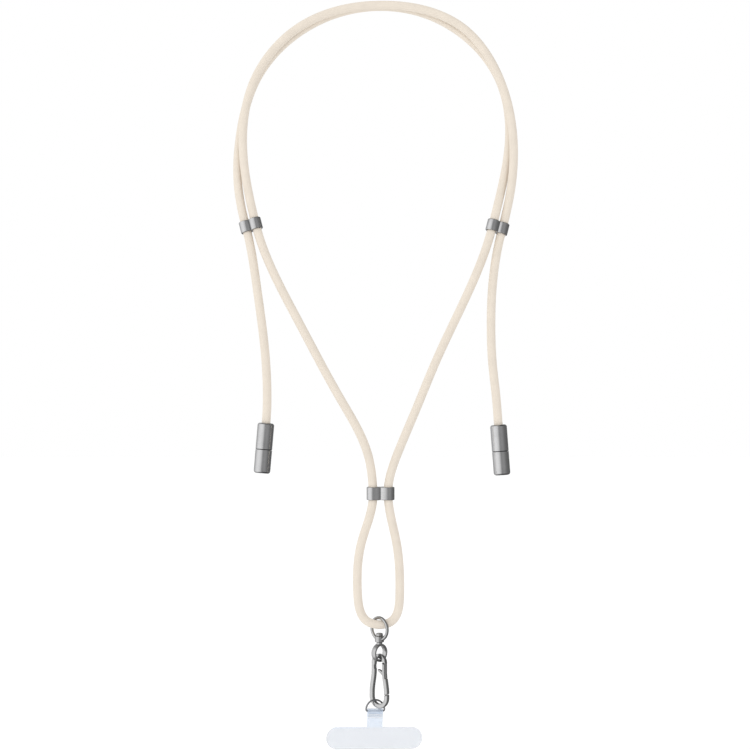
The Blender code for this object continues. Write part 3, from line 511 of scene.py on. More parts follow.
# ------------------------------------------------------------
# Plug housings, plugs and caps. Each cable end goes into a turned metal sleeve that holds the plug's
# flat steel shell. A cap of the same metal pulls off the plug; a fine dark line shows the joint.
HOUSING_DIAMETER = 0.0105
HOUSING_LENGTH = 0.0166
HOUSING_EDGE = 0.0015
SPIGOT_DIAMETER = 0.0084
SPIGOT_LENGTH = 0.0022
WASHER_DIAMETER = 0.0100
WASHER_THICKNESS = 0.00028
CAP_LENGTH = 0.0148
CAP_EDGE = 0.0017
CAP_FLOOR = 0.0014
JOINT_LINE = 0.0004
JOINT_EDGE = 0.00012
JOINT_BREAK = 0.3 * JOINT_EDGE
PLUG_WIDTH = 0.00825
PLUG_THICKNESS = 0.0024
PLUG_LENGTH = 0.00665
PLUG_WALL = 0.0003
PLUG_LIP = 0.4 * PLUG_WALL
PLUG_MOUTH_DEPTH = 0.0045
CABLE_END_STEP = 0.0003
TURNED_SIDES = 96
MOLDED_COLOR = (0.020, 0.020, 0.022)
MOLDED_GRAIN = 6000.0

plug_steel = satin_metal(
    "plug_steel", color=(0.700, 0.700, 0.710), roughness=0.22, grit=14000.0, depth=0.000003)

# The spigot that the cap grips, and the washer at its root, are molded dark plastic.
molded_plastic, tree, shader, spot = start_finish("molded_plastic")
matt = grain(tree, spot, MOLDED_GRAIN)
tone = ranged(tree, matt, 0.3, 0.7, 0.85, 1.15)
tree.links.new(tinted(tree, MOLDED_COLOR, tone), shader.inputs["Base Color"])
tree.links.new(ranged(tree, matt, 0.3, 0.7, 0.50, 0.65), shader.inputs["Roughness"])
shader.inputs["Specular IOR Level"].default_value = 0.2


def plug_frame(end, inward):
    """Return the frame of a plug: its origin at the housing's top, Z back up along the cable."""
    up = Vector(inward - end).normalized()
    across = Vector((1.0, 0.0, 0.0))
    across = (across - up * across.dot(up)).normalized()
    turn = Matrix((across, up.cross(across), up)).transposed().to_4x4()
    return Matrix.Translation(Vector(end) + up * (CABLE_SOCKET_DEPTH - CABLE_BORE_CLEARANCE)) @ turn


def rounded_edge(radius, height, edge, toward, steps=7):
    """Return (radius, height) points of a rounded edge, from its end face out; toward is +1 for a top."""
    points = []
    for turn in quarter_turn(steps):
        inset = edge * (1.0 - math.sin(turn))
        points.append((radius - inset, height - toward * edge * (1.0 - math.cos(turn))))
    return points


def stadium(width, thickness, level):
    """Return a ring with straight sides and half-round ends at a level."""
    radius = 0.5 * thickness
    reach = 0.5 * width - radius
    ring = arc_points((reach, 0.0), radius, -0.5 * math.pi, 0.5 * math.pi, 14)
    ring += arc_points((-reach, 0.0), radius, 0.5 * math.pi, 1.5 * math.pi, 14)
    return [(x, y, level) for x, y in ring]


end_marks = np.array([0.0, CABLE_END_STEP, knots[-1] - CABLE_END_STEP, knots[-1]])
left_end, left_inward, right_inward, right_end = cable_at(end_marks)
plug_places = {"left": plug_frame(left_end, left_inward), "right": plug_frame(right_end, right_inward)}
for name, place in plug_places.items():
    radius = 0.5 * HOUSING_DIAMETER
    socket = 0.5 * CABLE_DIAMETER + CABLE_BORE_CLEARANCE
    spigot = 0.5 * SPIGOT_DIAMETER
    washer = 0.5 * WASHER_DIAMETER
    shoulder = -HOUSING_LENGTH
    spigot_end = shoulder - SPIGOT_LENGTH
    profile = [(socket, -CABLE_SOCKET_DEPTH), (socket, -JOINT_EDGE), (socket + JOINT_BREAK, -JOINT_BREAK)]
    profile += [(socket + JOINT_EDGE, 0.0)] + rounded_edge(radius, 0.0, HOUSING_EDGE, 1.0)
    profile += rounded_edge(radius, shoulder, JOINT_EDGE, -1.0, 3)[::-1]
    profile += [(washer, shoulder), (washer, shoulder - WASHER_THICKNESS)]
    profile.append((spigot, shoulder - WASHER_THICKNESS))
    profile += rounded_edge(spigot, spigot_end, JOINT_EDGE, -1.0, 3)[::-1]
    sleeve = turned(profile, TURNED_SIDES)
    for face in sleeve.faces:
        face.material_index = int(max(corner.co.z for corner in face.verts) < shoulder + 0.5 * JOINT_EDGE)
    housing = make_piece(f"housing_sleeve_{name}", sleeve, gunmetal, place)
    housing.data.materials.append(molded_plastic)

    top = spigot_end - SEAT_GAP
    tip = top - PLUG_LENGTH
    rings = [stadium(PLUG_WIDTH, PLUG_THICKNESS, top), stadium(PLUG_WIDTH, PLUG_THICKNESS, tip + PLUG_LIP)]
    for i in range(1, 7):
        turn = math.pi * i / 6
        inset = PLUG_LIP * (1.0 - math.cos(turn))
        if i > 3:
            inset = 2.0 * PLUG_WALL - PLUG_LIP * (1.0 + math.cos(turn))
        level = tip + PLUG_LIP * (1.0 - math.sin(turn))
        rings.append(stadium(PLUG_WIDTH - inset, PLUG_THICKNESS - inset, level))
    inner = 2.0 * PLUG_WALL
    rings.append(stadium(PLUG_WIDTH - inner, PLUG_THICKNESS - inner, tip + PLUG_MOUTH_DEPTH))
    plug = make_piece(f"plug_shell_{name}", skin(rings), plug_steel, place)

    cavity = spigot + SEAT_GAP
    cap_top = shoulder - JOINT_LINE
    cap_foot = cap_top - CAP_LENGTH
    profile = [(cavity, cap_foot + CAP_FLOOR), (cavity, cap_top - JOINT_BREAK)]
    profile.append((cavity + JOINT_BREAK, cap_top))
    profile += rounded_edge(radius, cap_top, JOINT_EDGE, 1.0, 3)
    profile += rounded_edge(radius, cap_foot, CAP_EDGE, -1.0)[::-1]
    cap = make_piece(f"pull_cap_{name}", turned(profile, TURNED_SIDES), gunmetal, place)

    for piece, body, node, slot in (
        (housing, "lanyard", "plug_housing", "gunmetal"),
        (plug, "lanyard", "usb_plug", "plug_steel"),
        (cap, f"cap_{name}", "plug_cap", "gunmetal"),
    ):
        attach(piece, body)
        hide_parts(f"{node}_{name}")


# ------------------------------------------------------------
# Swivel, upper eye. A ring of round nickel-plated wire that hangs on the cable's loop, with a turned
# barrel at its foot. The wire is drawn, bent to its shape and brazed to the barrel.
SPIN_GAP = 0.00035
EYE_WIRE = 0.0020
EYE_WIDTH = 0.0164
EYE_HEIGHT = 0.0157
EYE_SEAT_GAP = 0.00060
EYE_TURN = math.radians(-48.0)
BARREL_DIAMETER = 0.0058
BARREL_HEIGHT = 0.0039
BARREL_BELOW_EYE = 0.0006
BARREL_EDGE = 0.0006
BARREL_BORE_DIAMETER = 0.0031
ROUND_EDGE = 0.499
MERGE_DISTANCE = 0.000002

nickel = satin_metal(
    "satin_nickel", color=(0.400, 0.400, 0.400), roughness=0.20, grit=7000.0, depth=0.000006)


def start_tree(name, kinds, result):
    """Return a new Geometry Nodes tree with named inputs, their identifiers, and the inputs inside it."""
    tree = bpy.data.node_groups.new(name, "GeometryNodeTree")
    sockets = {}
    for label, kind in kinds.items():
        socket = tree.interface.new_socket(name=label, in_out="INPUT", socket_type="NodeSocket" + kind)
        sockets[label] = socket.identifier
    tree.interface.new_socket(name=result, in_out="OUTPUT", socket_type="NodeSocketGeometry")
    return tree, sockets, tree.nodes.new("NodeGroupInput").outputs


def end_tree(tree, made, finish, result):
    """End a tree: its copies become real, take their finish and are handed out."""
    made = add_node(tree, "GeometryNodeRealizeInstances", {"Geometry": made.outputs[0]})
    made = add_node(tree, "GeometryNodeSetMaterial", {"Geometry": made.outputs[0], "Material": finish})
    add_node(tree, "NodeGroupOutput", {result: made.outputs[0]})


def run_tree(tree, sockets, sizes, blank, name, place):
    """Return what a tree makes of a blank mesh, as a plain piece with its place in its mesh."""
    thing = bpy.data.objects.new("blank", blank)
    bpy.context.scene.collection.objects.link(thing)
    step = thing.modifiers.new(tree.name, "NODES")
    step.node_group = tree
    for label, value in sizes.items():
        step[sockets[label]] = value
    result = bpy.data.meshes.new_from_object(thing.evaluated_get(bpy.context.evaluated_depsgraph_get()))
    finish = result.materials[0]
    shape = bmesh.new()
    shape.from_mesh(result)
    bmesh.ops.remove_doubles(shape, verts=shape.verts, dist=MERGE_DISTANCE)
    bmesh.ops.transform(shape, matrix=place, verts=shape.verts)
    bmesh.ops.recalc_face_normals(shape, faces=shape.faces)
    bpy.data.objects.remove(thing)
    for spare in (blank, result):
        bpy.data.meshes.remove(spare)
    return make_piece(name, shape, finish)


wire_drawing, wire_inputs, given = start_tree("wire_drawing", {
    "Path": "Geometry", "Wire Width": "Float", "Wire Depth": "Float", "Edge Radius": "Float",
    "Edge Steps": "Int", "Finish": "Material",
}, "Wire")
die = add_node(wire_drawing, "GeometryNodeCurvePrimitiveQuadrilateral", {
    "Width": given["Wire Width"], "Height": given["Wire Depth"]})
die = add_node(wire_drawing, "GeometryNodeFilletCurve", {
    "Curve": die.outputs[0], "Radius": given["Edge Radius"], "Count": given["Edge Steps"]}, mode="POLY")
bent = add_node(wire_drawing, "GeometryNodeMeshToCurve", {"Mesh": given["Path"]})
bent = add_node(wire_drawing, "GeometryNodeSetCurveNormal", {"Curve": bent.outputs[0]}, mode="Z_UP")
drawn = add_node(wire_drawing, "GeometryNodeCurveToMesh", {
    "Curve": bent.outputs[0], "Profile Curve": die.outputs[0]})
end_tree(wire_drawing, drawn, given["Finish"], "Wire")


def wire_ring(name, path, width, depth, edge, edge_steps, finish, place):
    """Return a closed ring of wire along (x, z) points; width lies in the ring's plane."""
    bent_path = bpy.data.meshes.new("bent_path")
    count = len(path)
    bent_path.from_pydata([(x, z, 0.0) for x, z in path], [(i, (i + 1) % count) for i in range(count)], [])
    sizes = {
        "Wire Width": width, "Wire Depth": depth, "Edge Radius": edge, "Edge Steps": edge_steps,
        "Finish": finish,
    }
    upright = place @ Matrix.Rotation(0.5 * math.pi, 4, "X")
    return run_tree(wire_drawing, wire_inputs, sizes, bent_path, name, upright)


loop_mark = np.interp(loop_start + 2.5, range(len(knots)), knots)
loop_axis = Matrix.Translation(Vector(cable_at(np.array([loop_mark]))[0]))
barrel_foot = 0.5 * CABLE_DIAMETER + EYE_SEAT_GAP + EYE_WIRE - EYE_HEIGHT - BARREL_BELOW_EYE
barrel_top = barrel_foot + BARREL_HEIGHT
eye_middle = 0.5 * CABLE_DIAMETER + EYE_SEAT_GAP + EYE_WIRE - 0.5 * EYE_HEIGHT
half_width = 0.5 * (EYE_WIDTH - EYE_WIRE)
half_height = 0.5 * (EYE_HEIGHT - EYE_WIRE)
eye_path = []
for turn in whole_turn(112):
    eye_path.append((half_width * math.cos(turn), eye_middle + half_height * math.sin(turn)))
eye_place = loop_axis @ Matrix.Rotation(EYE_TURN, 4, "Z")
upper_eye = wire_ring(
    "swivel_wire_eye", eye_path, EYE_WIRE, EYE_WIRE, ROUND_EDGE * EYE_WIRE, 6, nickel, eye_place)
barrel = rounded_edge(0.5 * BARREL_DIAMETER, barrel_foot, BARREL_EDGE, -1.0, 5)
barrel += rounded_edge(0.5 * BARREL_DIAMETER, barrel_top, BARREL_EDGE, 1.0, 5)[::-1]
carve(upper_eye, "UNION", turned(barrel), eye_place)
bore = 0.5 * BARREL_BORE_DIAMETER
drill = turned([(bore, barrel_foot - EYE_WIRE), (bore, barrel_top + EYE_WIRE)])
carve(upper_eye, "DIFFERENCE", drill, eye_place)
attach(upper_eye, "upper_eye")
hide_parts("swivel_upper_eye")


# ------------------------------------------------------------
# Swivel, lower eye. A flat nickel-plated band bent to a ring, in one piece with the post that turns
# in the barrel. A collar stands under the barrel, and the post's riveted head lies on top of it.
POST_DIAMETER = 0.0024
POST_HEAD_DIAMETER = 0.0044
POST_HEAD_HEIGHT = 0.0014
COLLAR_DIAMETER = 0.0036
COLLAR_HEIGHT = 0.0006
BAND_DIAMETER = 0.0114
BAND_WALL = 0.0013
BAND_WIDTH = 0.0035
BAND_EDGE = 0.0004
BAND_PEAR = 0.08
BAND_TURN = math.radians(46.0)
COLLAR_ROOT = 0.6 * BAND_WALL
POST_HEAD_EDGE = 0.6 * POST_HEAD_HEIGHT

band_top = barrel_foot - SPIN_GAP - COLLAR_HEIGHT
band_radius = 0.5 * (BAND_DIAMETER - BAND_WALL)
band_path = []
for turn in whole_turn(96):
    pear = 1.0 - BAND_PEAR * max(0.0, math.sin(turn)) ** 2
    level = band_top - 0.5 * BAND_DIAMETER + band_radius * math.sin(turn)
    band_path.append((band_radius * pear * math.cos(turn), level))
band_place = loop_axis @ Matrix.Rotation(BAND_TURN, 4, "Z")
lower_eye = wire_ring("swivel_band_eye", band_path, BAND_WALL, BAND_WIDTH, BAND_EDGE, 3, nickel, band_place)
collar_top = barrel_foot - SPIN_GAP
head_foot = barrel_top + SPIN_GAP
head_top = head_foot + POST_HEAD_HEIGHT
post = [(0.5 * COLLAR_DIAMETER, band_top - COLLAR_ROOT), (0.5 * COLLAR_DIAMETER, collar_top)]
post += [(0.5 * POST_DIAMETER, collar_top), (0.5 * POST_DIAMETER, head_foot)]
post.append((0.5 * POST_HEAD_DIAMETER, head_foot))
post += rounded_edge(0.5 * POST_HEAD_DIAMETER, head_top, POST_HEAD_EDGE, 1.0, 6)[::-1]
carve(lower_eye, "UNION", turned(post), band_place)
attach(lower_eye, "lower_eye")
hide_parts("swivel_lower_eye")


# ------------------------------------------------------------
# Carabiner body. A flat-sided wire bent to a long hook with its edges rounded, forked at the hinge and
# cut on the slant at the nose. A thin spine runs down from the fork over the gate's outer side.
HOOK_WIRE = 0.0027
HOOK_WIRE_EDGE = 0.0006
BOW_RADIUS = 0.0041
FOOT_RADIUS = 0.00575
HOOK_HEIGHT = 0.0343
FLARE_START = 0.0050
FLARE_ABOVE_FOOT = 0.00275
HOOK_BAND_GAP = 0.00100
HOOK_TURN = math.radians(-38.0)
GATE_PIVOT_ANGLE = math.radians(17.0)
GATE_OPENING = math.radians(18.0)
GATE_PIN_DIAMETER = 0.0007
GATE_PIN_LENGTH = 0.9 * HOOK_WIRE
GATE_TONGUE_THICKNESS = 0.0008
GATE_TONGUE_DIAMETER = 0.0022
GATE_TONGUE_START = math.radians(-40.0)
GATE_TONGUE_SHOULDER = 1.2
GATE_STEM_REACH = 0.0004
FORK_GAP = 0.00040
NOSE_GAP = 0.00018
FORK_END_RISE = 0.0001
FORK_SLOPE = -0.50
FORK_LEAD = math.radians(24.0)
NOSE_ABOVE_FOOT = 0.00185
NOSE_SLOPE = 0.30
SPINE_THICKNESS = 0.0006
SPINE_DROP = 0.0094
CUT_EDGE = 0.00036
LEVER_DROP = 0.0072
LEVER_LENGTH = 0.0058
LEVER_TIP_DIAMETER = 0.0008
LEVER_TILT = math.radians(27.0)
NOTCH_HALF_HEIGHT = 0.0012
NOTCH_CLEARANCE = 0.0005
NOTCH_SPLAY = 0.6

foot_drop = HOOK_HEIGHT - BOW_RADIUS - FOOT_RADIUS - HOOK_WIRE
nose_drop = foot_drop - NOSE_ABOVE_FOOT
hook_height = band_top - BAND_DIAMETER + BAND_WALL + HOOK_BAND_GAP + 0.5 * HOOK_WIRE - BOW_RADIUS
hook_place = loop_axis @ Matrix.Translation((0.0, 0.0, hook_height)) @ Matrix.Rotation(HOOK_TURN, 4, "Z")
pivot_x = BOW_RADIUS * math.cos(GATE_PIVOT_ANGLE)
pivot_z = BOW_RADIUS * math.sin(GATE_PIVOT_ANGLE)
pivot_place = hook_place @ Matrix.Translation((pivot_x, 0.0, pivot_z))


def leg_offset(drop):
    """Return how far a leg's centre line stands from the carabiner's middle, at a depth below the bow."""
    share = min(1.0, max(0.0, (drop - FLARE_START) / (foot_drop - FLARE_ABOVE_FOOT - FLARE_START)))
    return BOW_RADIUS + (FOOT_RADIUS - BOW_RADIUS) * share * share * (3.0 - 2.0 * share)


def flat_wire_section():
    """Return the (across, through) section of the flat-sided wire, its corners rounded."""
    inner = 0.5 * HOOK_WIRE - HOOK_WIRE_EDGE
    section = []
    for quarter, corner in enumerate(((inner, inner), (-inner, inner), (-inner, -inner), (inner, -inner))):
        start = 0.5 * math.pi * quarter
        section += arc_points(corner, HOOK_WIRE_EDGE, start, start + 0.5 * math.pi, 4)
    return section


# The slanted end faces of the body and the gate are painted dark, as painted shade for the narrow slits at
# the fork and the nose.
painted_slit_shade = satin_metal(
    "painted_slit_shade", color=(0.060, 0.058, 0.055), roughness=0.45, grit=9000.0, depth=0.000008)


def swept(path, section, skew_start=0.0, skew_end=0.0, first_along=None, cut=True):
    """Return a section swept along (x, z) points.

    A skew slants an end face by that share of the way across, and first_along is the way that the first
    face looks, where it isn't the path's own. A cut end has broken edges and a dark face, painted shade for
    the slit there.
    """
    rings = []
    for i, (x, z) in enumerate(path):
        before = path[max(i - 1, 0)]
        after = path[min(i + 1, len(path) - 1)]
        along = Vector((after[0] - before[0], 0.0, after[1] - before[1])).normalized()
        if first_along is not None and i == 0:
            along = Vector(first_along)
        across = Vector((along.z, 0.0, -along.x))
        skew = skew_start if i == 0 else skew_end if i == len(path) - 1 else 0.0
        ring = [Vector((x, b, z)) + across * a + along * (skew * a) for a, b in section]
        inward = along * CUT_EDGE if i == 0 else -along * CUT_EDGE
        if cut and i in (0, len(path) - 1):
            middle = Vector((x, 0.0, z))
            ends = [[middle + (point - middle) * (1.0 - 2.0 * CUT_EDGE / HOOK_WIRE) for point in ring]]
            ends.append([point + inward for point in ring])
            rings += ends if i == 0 else ends[::-1]
        else:
            rings.append(ring)
    wire = skin(rings)
    wire.faces.ensure_lookup_table()
    # The end faces take the second finish, painted shade for the slits at the fork and the nose.
    if cut:
        count = len(section)
        for end in wire.faces[:2 + count] + wire.faces[-count:]:
            end.material_index = 1
    return wire


def plate(outline, thickness):
    """Return a plate with an (x, z) outline, centred on the XZ plane."""
    return skin([[(x, y, z) for x, z in outline] for y in (-0.5 * thickness, 0.5 * thickness)])


def tongue_outline(room, foot):
    """Return the (x, z) outline of the gate's tongue with room around it, down to its foot."""
    radius = 0.5 * GATE_TONGUE_DIAMETER + room
    reach = GATE_STEM_REACH + room
    head = arc_points((0.0, 0.0), radius, GATE_TONGUE_START, math.pi, 28)
    return head + [(-radius, foot), (reach, foot), (reach, -GATE_TONGUE_SHOULDER * radius)]


def pin_outline(room):
    """Return the (x, z) outline of the gate's pin with room around it."""
    return arc_points((0.0, 0.0), 0.5 * GATE_PIN_DIAMETER + room, 0.0, 1.9 * math.pi, 19)


start = math.asin(FORK_END_RISE / BOW_RADIUS)
hook_path = [(BOW_RADIUS * math.cos(start), FORK_END_RISE)]
hook_path += arc_points((0.0, 0.0), BOW_RADIUS, start + FORK_LEAD, math.pi, 34)
hook_path += [(-leg_offset(foot_drop * i / 26), -foot_drop * i / 26) for i in range(1, 26)]
hook_path += arc_points((0.0, -foot_drop), FOOT_RADIUS, math.pi, 2.0 * math.pi, 44)
hook_path.append((leg_offset(nose_drop), -nose_drop))
hook_wire = swept(hook_path, flat_wire_section(), FORK_SLOPE, NOSE_SLOPE, (0.0, 0.0, 1.0))
hook = make_piece("hook_body", hook_wire, nickel, hook_place)
# Its slanted end faces take the painted slit shade.
hook.data.materials.append(painted_slit_shade)
outer = 0.5 * HOOK_WIRE
inner = outer - SPINE_THICKNESS
spine_section = [(outer, outer - HOOK_WIRE_EDGE), (inner, outer - HOOK_WIRE_EDGE + SPINE_THICKNESS)]
spine_section += [(a, -b) for a, b in reversed(spine_section)]
spine_top = -FORK_END_RISE - SEAT_GAP
spine_drops = [spine_top + (SPINE_DROP + FORK_END_RISE + SEAT_GAP) * i / 16 for i in range(17)]
spine = swept([(leg_offset(drop), -drop) for drop in reversed(spine_drops)], spine_section, cut=False)
carve(hook, "UNION", spine, hook_place)
fork_slot = plate(tongue_outline(SPIN_GAP, -HOOK_WIRE), GATE_TONGUE_THICKNESS + 2.0 * SPIN_GAP)
carve(hook, "DIFFERENCE", fork_slot, pivot_place)
carve(hook, "UNION", plate(pin_outline(0.0), GATE_PIN_LENGTH), pivot_place)
tip_x = leg_offset(LEVER_DROP) - LEVER_LENGTH * math.cos(LEVER_TILT)
tip_z = -LEVER_DROP + LEVER_LENGTH * math.sin(LEVER_TILT)
arm_x, arm_z = tip_x - pivot_x, tip_z - pivot_z
open_x = pivot_x + arm_x * math.cos(GATE_OPENING) + arm_z * math.sin(GATE_OPENING)
open_z = pivot_z + arm_z * math.cos(GATE_OPENING) - arm_x * math.sin(GATE_OPENING)
notch_floor = open_x - 0.5 * LEVER_TIP_DIAMETER - NOTCH_CLEARANCE
rise = -NOTCH_SPLAY * notch_floor
notch = [
    (notch_floor, open_z - NOTCH_HALF_HEIGHT), (notch_floor, open_z + NOTCH_HALF_HEIGHT),
    (0.0, open_z + NOTCH_HALF_HEIGHT + rise), (0.0, open_z - NOTCH_HALF_HEIGHT - rise),
]
carve(hook, "DIFFERENCE", plate(notch, 2.0 * HOOK_WIRE), hook_place)
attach(hook, "carabiner")
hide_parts("carabiner_body")


# ------------------------------------------------------------
# Carabiner gate. A length of the same flat-sided wire between fork and nose, with a thin tongue on the
# hinge pin, a relief for the spine and a small thumb lever that leans over the opening.
LEVER_SIDES = 24
LEVER_SHAPE = (
    (0.00, 0.0018), (0.18, 0.0026), (0.32, 0.0025), (0.45, 0.0021), (0.62, 0.0019), (0.78, 0.0019),
    (0.87, 0.0016), (0.94, 0.0012), (0.98, 0.0008), (1.02, 0.0003),
)

gate_top = FORK_END_RISE - FORK_GAP
gate_foot = NOSE_GAP - nose_drop
heights = [gate_top + (gate_foot - gate_top) * i / 24 for i in range(25)]
gate_path = [(leg_offset(-height), height) for height in heights]
gate_wire = swept(gate_path, flat_wire_section(), FORK_SLOPE, NOSE_SLOPE)
gate = make_piece("hook_gate", gate_wire, nickel, hook_place)
# Its slanted end faces take the painted slit shade.
gate.data.materials.append(painted_slit_shade)
relief_depth = SPINE_THICKNESS + SPIN_GAP
depths = [-HOOK_WIRE + (SPINE_DROP + SPIN_GAP + HOOK_WIRE) * i / 18 for i in range(19)]
strip = [(leg_offset(depth) + 0.5 * HOOK_WIRE + HOOK_WIRE, -depth) for depth in depths]
strip += [(leg_offset(depth) + 0.5 * HOOK_WIRE - relief_depth, -depth) for depth in reversed(depths)]
carve(gate, "DIFFERENCE", plate(strip, 2.0 * HOOK_WIRE), hook_place)
tongue_foot = gate_top - pivot_z - 0.5 * GATE_TONGUE_DIAMETER
carve(gate, "UNION", plate(tongue_outline(0.0, tongue_foot), GATE_TONGUE_THICKNESS), pivot_place)
carve(gate, "DIFFERENCE", plate(pin_outline(SPIN_GAP), HOOK_WIRE), pivot_place)

# Along the lever, each step of its shape is a share of its length and the width there.
rings = []
root_x, root_z = leg_offset(LEVER_DROP), -LEVER_DROP
for share, width in LEVER_SHAPE:
    x, z = root_x + (tip_x - root_x) * share, root_z + (tip_z - root_z) * share
    rings.append([
        (x + 0.5 * width * math.cos(turn) * math.sin(LEVER_TILT), 0.5 * width * math.sin(turn),
         z + 0.5 * width * math.cos(turn) * math.cos(LEVER_TILT))
        for turn in whole_turn(LEVER_SIDES)
    ])
carve(gate, "UNION", skin(rings), hook_place)
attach(gate, "gate")
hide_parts("carabiner_gate")


# ------------------------------------------------------------
# Tab ring. A thin dark wire ring, straight below where the tab folds over it and round above, where
# it hangs in the carabiner's foot, a little out of level with the tab on it.
FILM = 0.0007
RING_WIRE = 0.0011
RING_WIDTH = 0.0127
RING_HEIGHT = 0.0081
RING_CORNER = 0.0010
RING_BACK = 0.0007
RING_LEFT = 0.0027
RING_TURN = math.radians(8.0)
RING_TILT = math.radians(1.6)

dark_wire = satin_metal(
    "dark_wire", color=(0.300, 0.300, 0.310), roughness=0.26, grit=9000.0, depth=0.000006)
bar = -foot_drop - FOOT_RADIUS - 0.5 * HOOK_WIRE - SEAT_GAP - FILM - SPIN_GAP - 0.5 * RING_WIRE
half = 0.5 * (RING_WIDTH - RING_WIRE)
bow_height = RING_HEIGHT - RING_WIRE - RING_CORNER
ring_path = arc_points((half - RING_CORNER, bar + RING_CORNER), RING_CORNER, -0.5 * math.pi, 0.0, 8)
for i in range(1, 60):
    turn = math.pi * i / 60
    ring_path.append((half * math.cos(turn), bar + RING_CORNER + bow_height * math.sin(turn)))
ring_path += arc_points((RING_CORNER - half, bar + RING_CORNER), RING_CORNER, math.pi, 1.5 * math.pi, 8)
hang = Matrix.Rotation(-HOOK_TURN, 3, "Z") @ Vector((-RING_LEFT, RING_BACK, 0.0))
on_bar = Matrix.Translation((0.0, 0.0, bar))
tab_place = hook_place @ Matrix.Translation(hang) @ Matrix.Rotation(RING_TURN - HOOK_TURN, 4, "Z")
tab_place = tab_place @ on_bar @ Matrix.Rotation(RING_TILT, 4, "Y") @ on_bar.inverted()
ring = wire_ring(
    "tab_wire_ring", ring_path, RING_WIRE, RING_WIRE, ROUND_EDGE * RING_WIRE, 4, dark_wire, tab_place)
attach(ring, "carabiner")
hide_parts("tab_ring")


# ------------------------------------------------------------
# Phone tab. One sheet of frosted plastic film: a narrow neck folded over the ring's bar and welded to
# itself with fine ribs, and a long flat body with round ends that lies inside a phone's case.
TAB_NECK_WIDTH = 0.0097
TAB_NECK_LENGTH = 0.0118
TAB_FOLD_LENGTH = 0.0042
TAB_BODY_WIDTH = 0.0610
TAB_BODY_HEIGHT = 0.0138
TAB_END_FLAT = 0.0002
WELD_RIBS = 3
WELD_RIB_PITCH = 0.00095
WELD_RIB_WIDTH = 0.00030
WELD_RIBS_BELOW_BAR = 0.0020
FILM_ALPHA = 0.42
FILM_BUMP = 0.3
FILM_RELIEF = 0.00002
FROST_GRAIN = 2600.0
FILM_CLOUD_GRAIN = 60.0
FILM_TONES = (0.985, 1.015)
BODY_TINT = (0.690, 0.722, 0.780)
NECK_TINT = (0.650, 0.740, 0.870)
NECK_TINT_FROM = (-0.4625, -0.4605)

# The doubled film of the neck is bluer than the body, from the height where the neck leaves it.
frosted_film, tree, shader, spot = start_finish("frosted_film")
level = add_node(tree, "ShaderNodeSeparateXYZ", {0: spot}).outputs["Z"]
doubled = ranged(tree, level, *NECK_TINT_FROM, 0.0, 1.0, smooth=True)
frost = grain(tree, spot, FROST_GRAIN, 3.0)
cloud = grain(tree, spot, FILM_CLOUD_GRAIN, 2.0)
tint = add_node(tree, "ShaderNodeMixRGB", {
    "Fac": doubled, "Color1": (*BODY_TINT, 1.0), "Color2": (*NECK_TINT, 1.0)}).outputs[0]
frost_tone = ranged(tree, frost, 0.3, 0.7, *FILM_TONES)
cloud_tone = ranged(tree, cloud, 0.3, 0.7, *FILM_TONES)
tone = maths(tree, "MULTIPLY", frost_tone, cloud_tone)
tree.links.new(tinted(tree, tint, tone), shader.inputs["Base Color"])
tree.links.new(ranged(tree, frost, 0.2, 0.8, 0.38, 0.52), shader.inputs["Roughness"])
emboss(tree, shader, frost, FILM_BUMP, FILM_RELIEF)
shader.inputs["Alpha"].default_value = FILM_ALPHA
shader.inputs["Specular IOR Level"].default_value = 0.3


def across_tab(outline, half_width):
    """Return a (y, z) outline drawn out across the tab, to both sides of its middle."""
    return skin([[(side * half_width, y, z) for y, z in outline] for side in (-1.0, 1.0)])


inner = 0.5 * RING_WIRE + SPIN_GAP
fold_foot = bar - TAB_FOLD_LENGTH
neck_foot = bar + inner + FILM - TAB_NECK_LENGTH
half_neck = 0.5 * TAB_NECK_WIDTH
neck = arc_points((0.0, bar), inner + FILM, 0.0, math.pi, 28)
neck += [(-FILM, fold_foot), (-FILM, neck_foot - FILM), (FILM, neck_foot - FILM), (FILM, fold_foot)]
tab = make_piece("film_tab", across_tab(neck, half_neck), frosted_film, tab_place)
tunnel = arc_points((0.0, bar), inner, 0.0, math.pi, 28) + [(0.0, fold_foot + FILM)]
carve(tab, "DIFFERENCE", across_tab(tunnel, half_neck + FILM), tab_place)
corner = 0.5 * (TAB_BODY_HEIGHT - TAB_END_FLAT)
reach = 0.5 * TAB_BODY_WIDTH - corner
low, high = neck_foot - TAB_BODY_HEIGHT + corner, neck_foot - corner
tab_body = []
for i, middle in enumerate(((reach, low), (reach, high), (-reach, high), (-reach, low))):
    tab_body += arc_points(middle, corner, 0.5 * math.pi * (i - 1), 0.5 * math.pi * i, 20)
carve(tab, "UNION", plate(tab_body, FILM), tab_place)
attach(tab, "carabiner")
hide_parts("phone_tab")

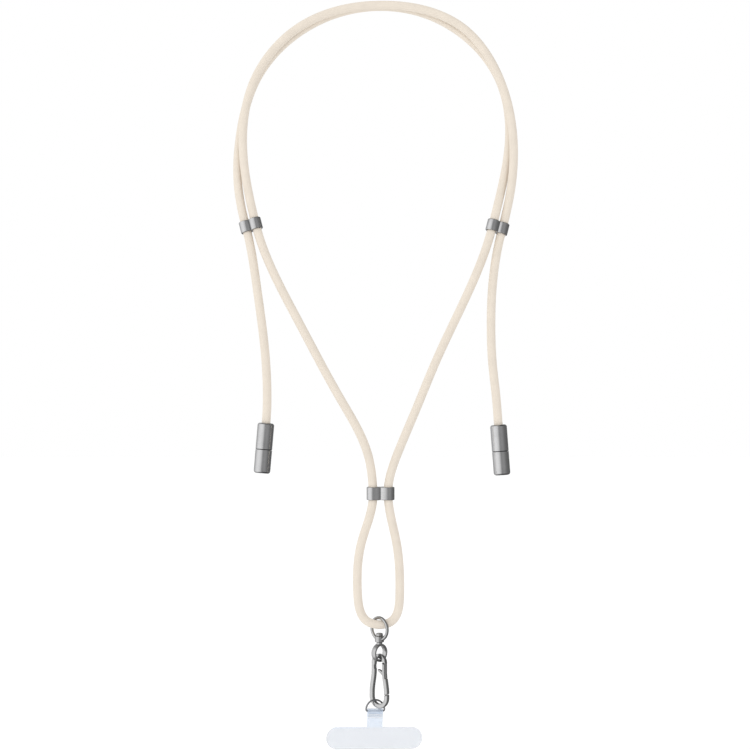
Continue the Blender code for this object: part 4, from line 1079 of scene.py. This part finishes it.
# The weld's ribs, one set on each side of the neck, lie on the slant of the folded film.
rib_press, rib_inputs, given = start_tree("rib_press", {
    "Ribs": "Int", "Pitch": "Float", "Rib Length": "Float", "Rib Width": "Float", "Finish": "Material",
}, "Ribs")
drop = maths(rib_press, "MULTIPLY", given["Pitch"], -1.0)
pitch = add_node(rib_press, "ShaderNodeCombineXYZ", {"Z": drop})
places = add_node(rib_press, "GeometryNodeMeshLine", {"Count": given["Ribs"], "Offset": pitch.outputs[0]})
rib_ends = []
for end in (-0.5, 0.5):
    end_reach = maths(rib_press, "MULTIPLY", given["Rib Length"], end)
    rib_ends.append(add_node(rib_press, "ShaderNodeCombineXYZ", {"X": end_reach}).outputs[0])
rib_line = add_node(rib_press, "GeometryNodeCurvePrimitiveLine", {"Start": rib_ends[0], "End": rib_ends[1]})
rib_half = maths(rib_press, "MULTIPLY", given["Rib Width"], 0.5)
rib_round = add_node(rib_press, "GeometryNodeCurvePrimitiveCircle", {"Resolution": 10, "Radius": rib_half})
rib = add_node(rib_press, "GeometryNodeCurveToMesh", {
    "Curve": rib_line.outputs[0], "Profile Curve": rib_round.outputs[0], "Fill Caps": True})
pressed = add_node(rib_press, "GeometryNodeInstanceOnPoints", {
    "Points": places.outputs[0], "Instance": rib.outputs[0]})
end_tree(rib_press, pressed, given["Finish"], "Ribs")

rib_sizes = {
    "Ribs": WELD_RIBS, "Pitch": WELD_RIB_PITCH, "Rib Length": TAB_NECK_WIDTH - 2.0 * WELD_RIB_WIDTH,
    "Rib Width": WELD_RIB_WIDTH, "Finish": frosted_film,
}
slant = math.atan2(inner, TAB_FOLD_LENGTH)
out = inner + FILM - WELD_RIBS_BELOW_BAR * math.tan(slant)
for name, face in (("front", -1.0), ("back", 1.0)):
    ribs_place = tab_place @ Matrix.Translation((0.0, face * out, bar - WELD_RIBS_BELOW_BAR))
    ribs_place = ribs_place @ Matrix.Rotation(-face * slant, 4, "X")
    press = bpy.data.meshes.new("press")
    ribs = run_tree(rib_press, rib_inputs, rib_sizes, press, f"weld_ribs_{name}", ribs_place)
    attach(ribs, "carabiner")
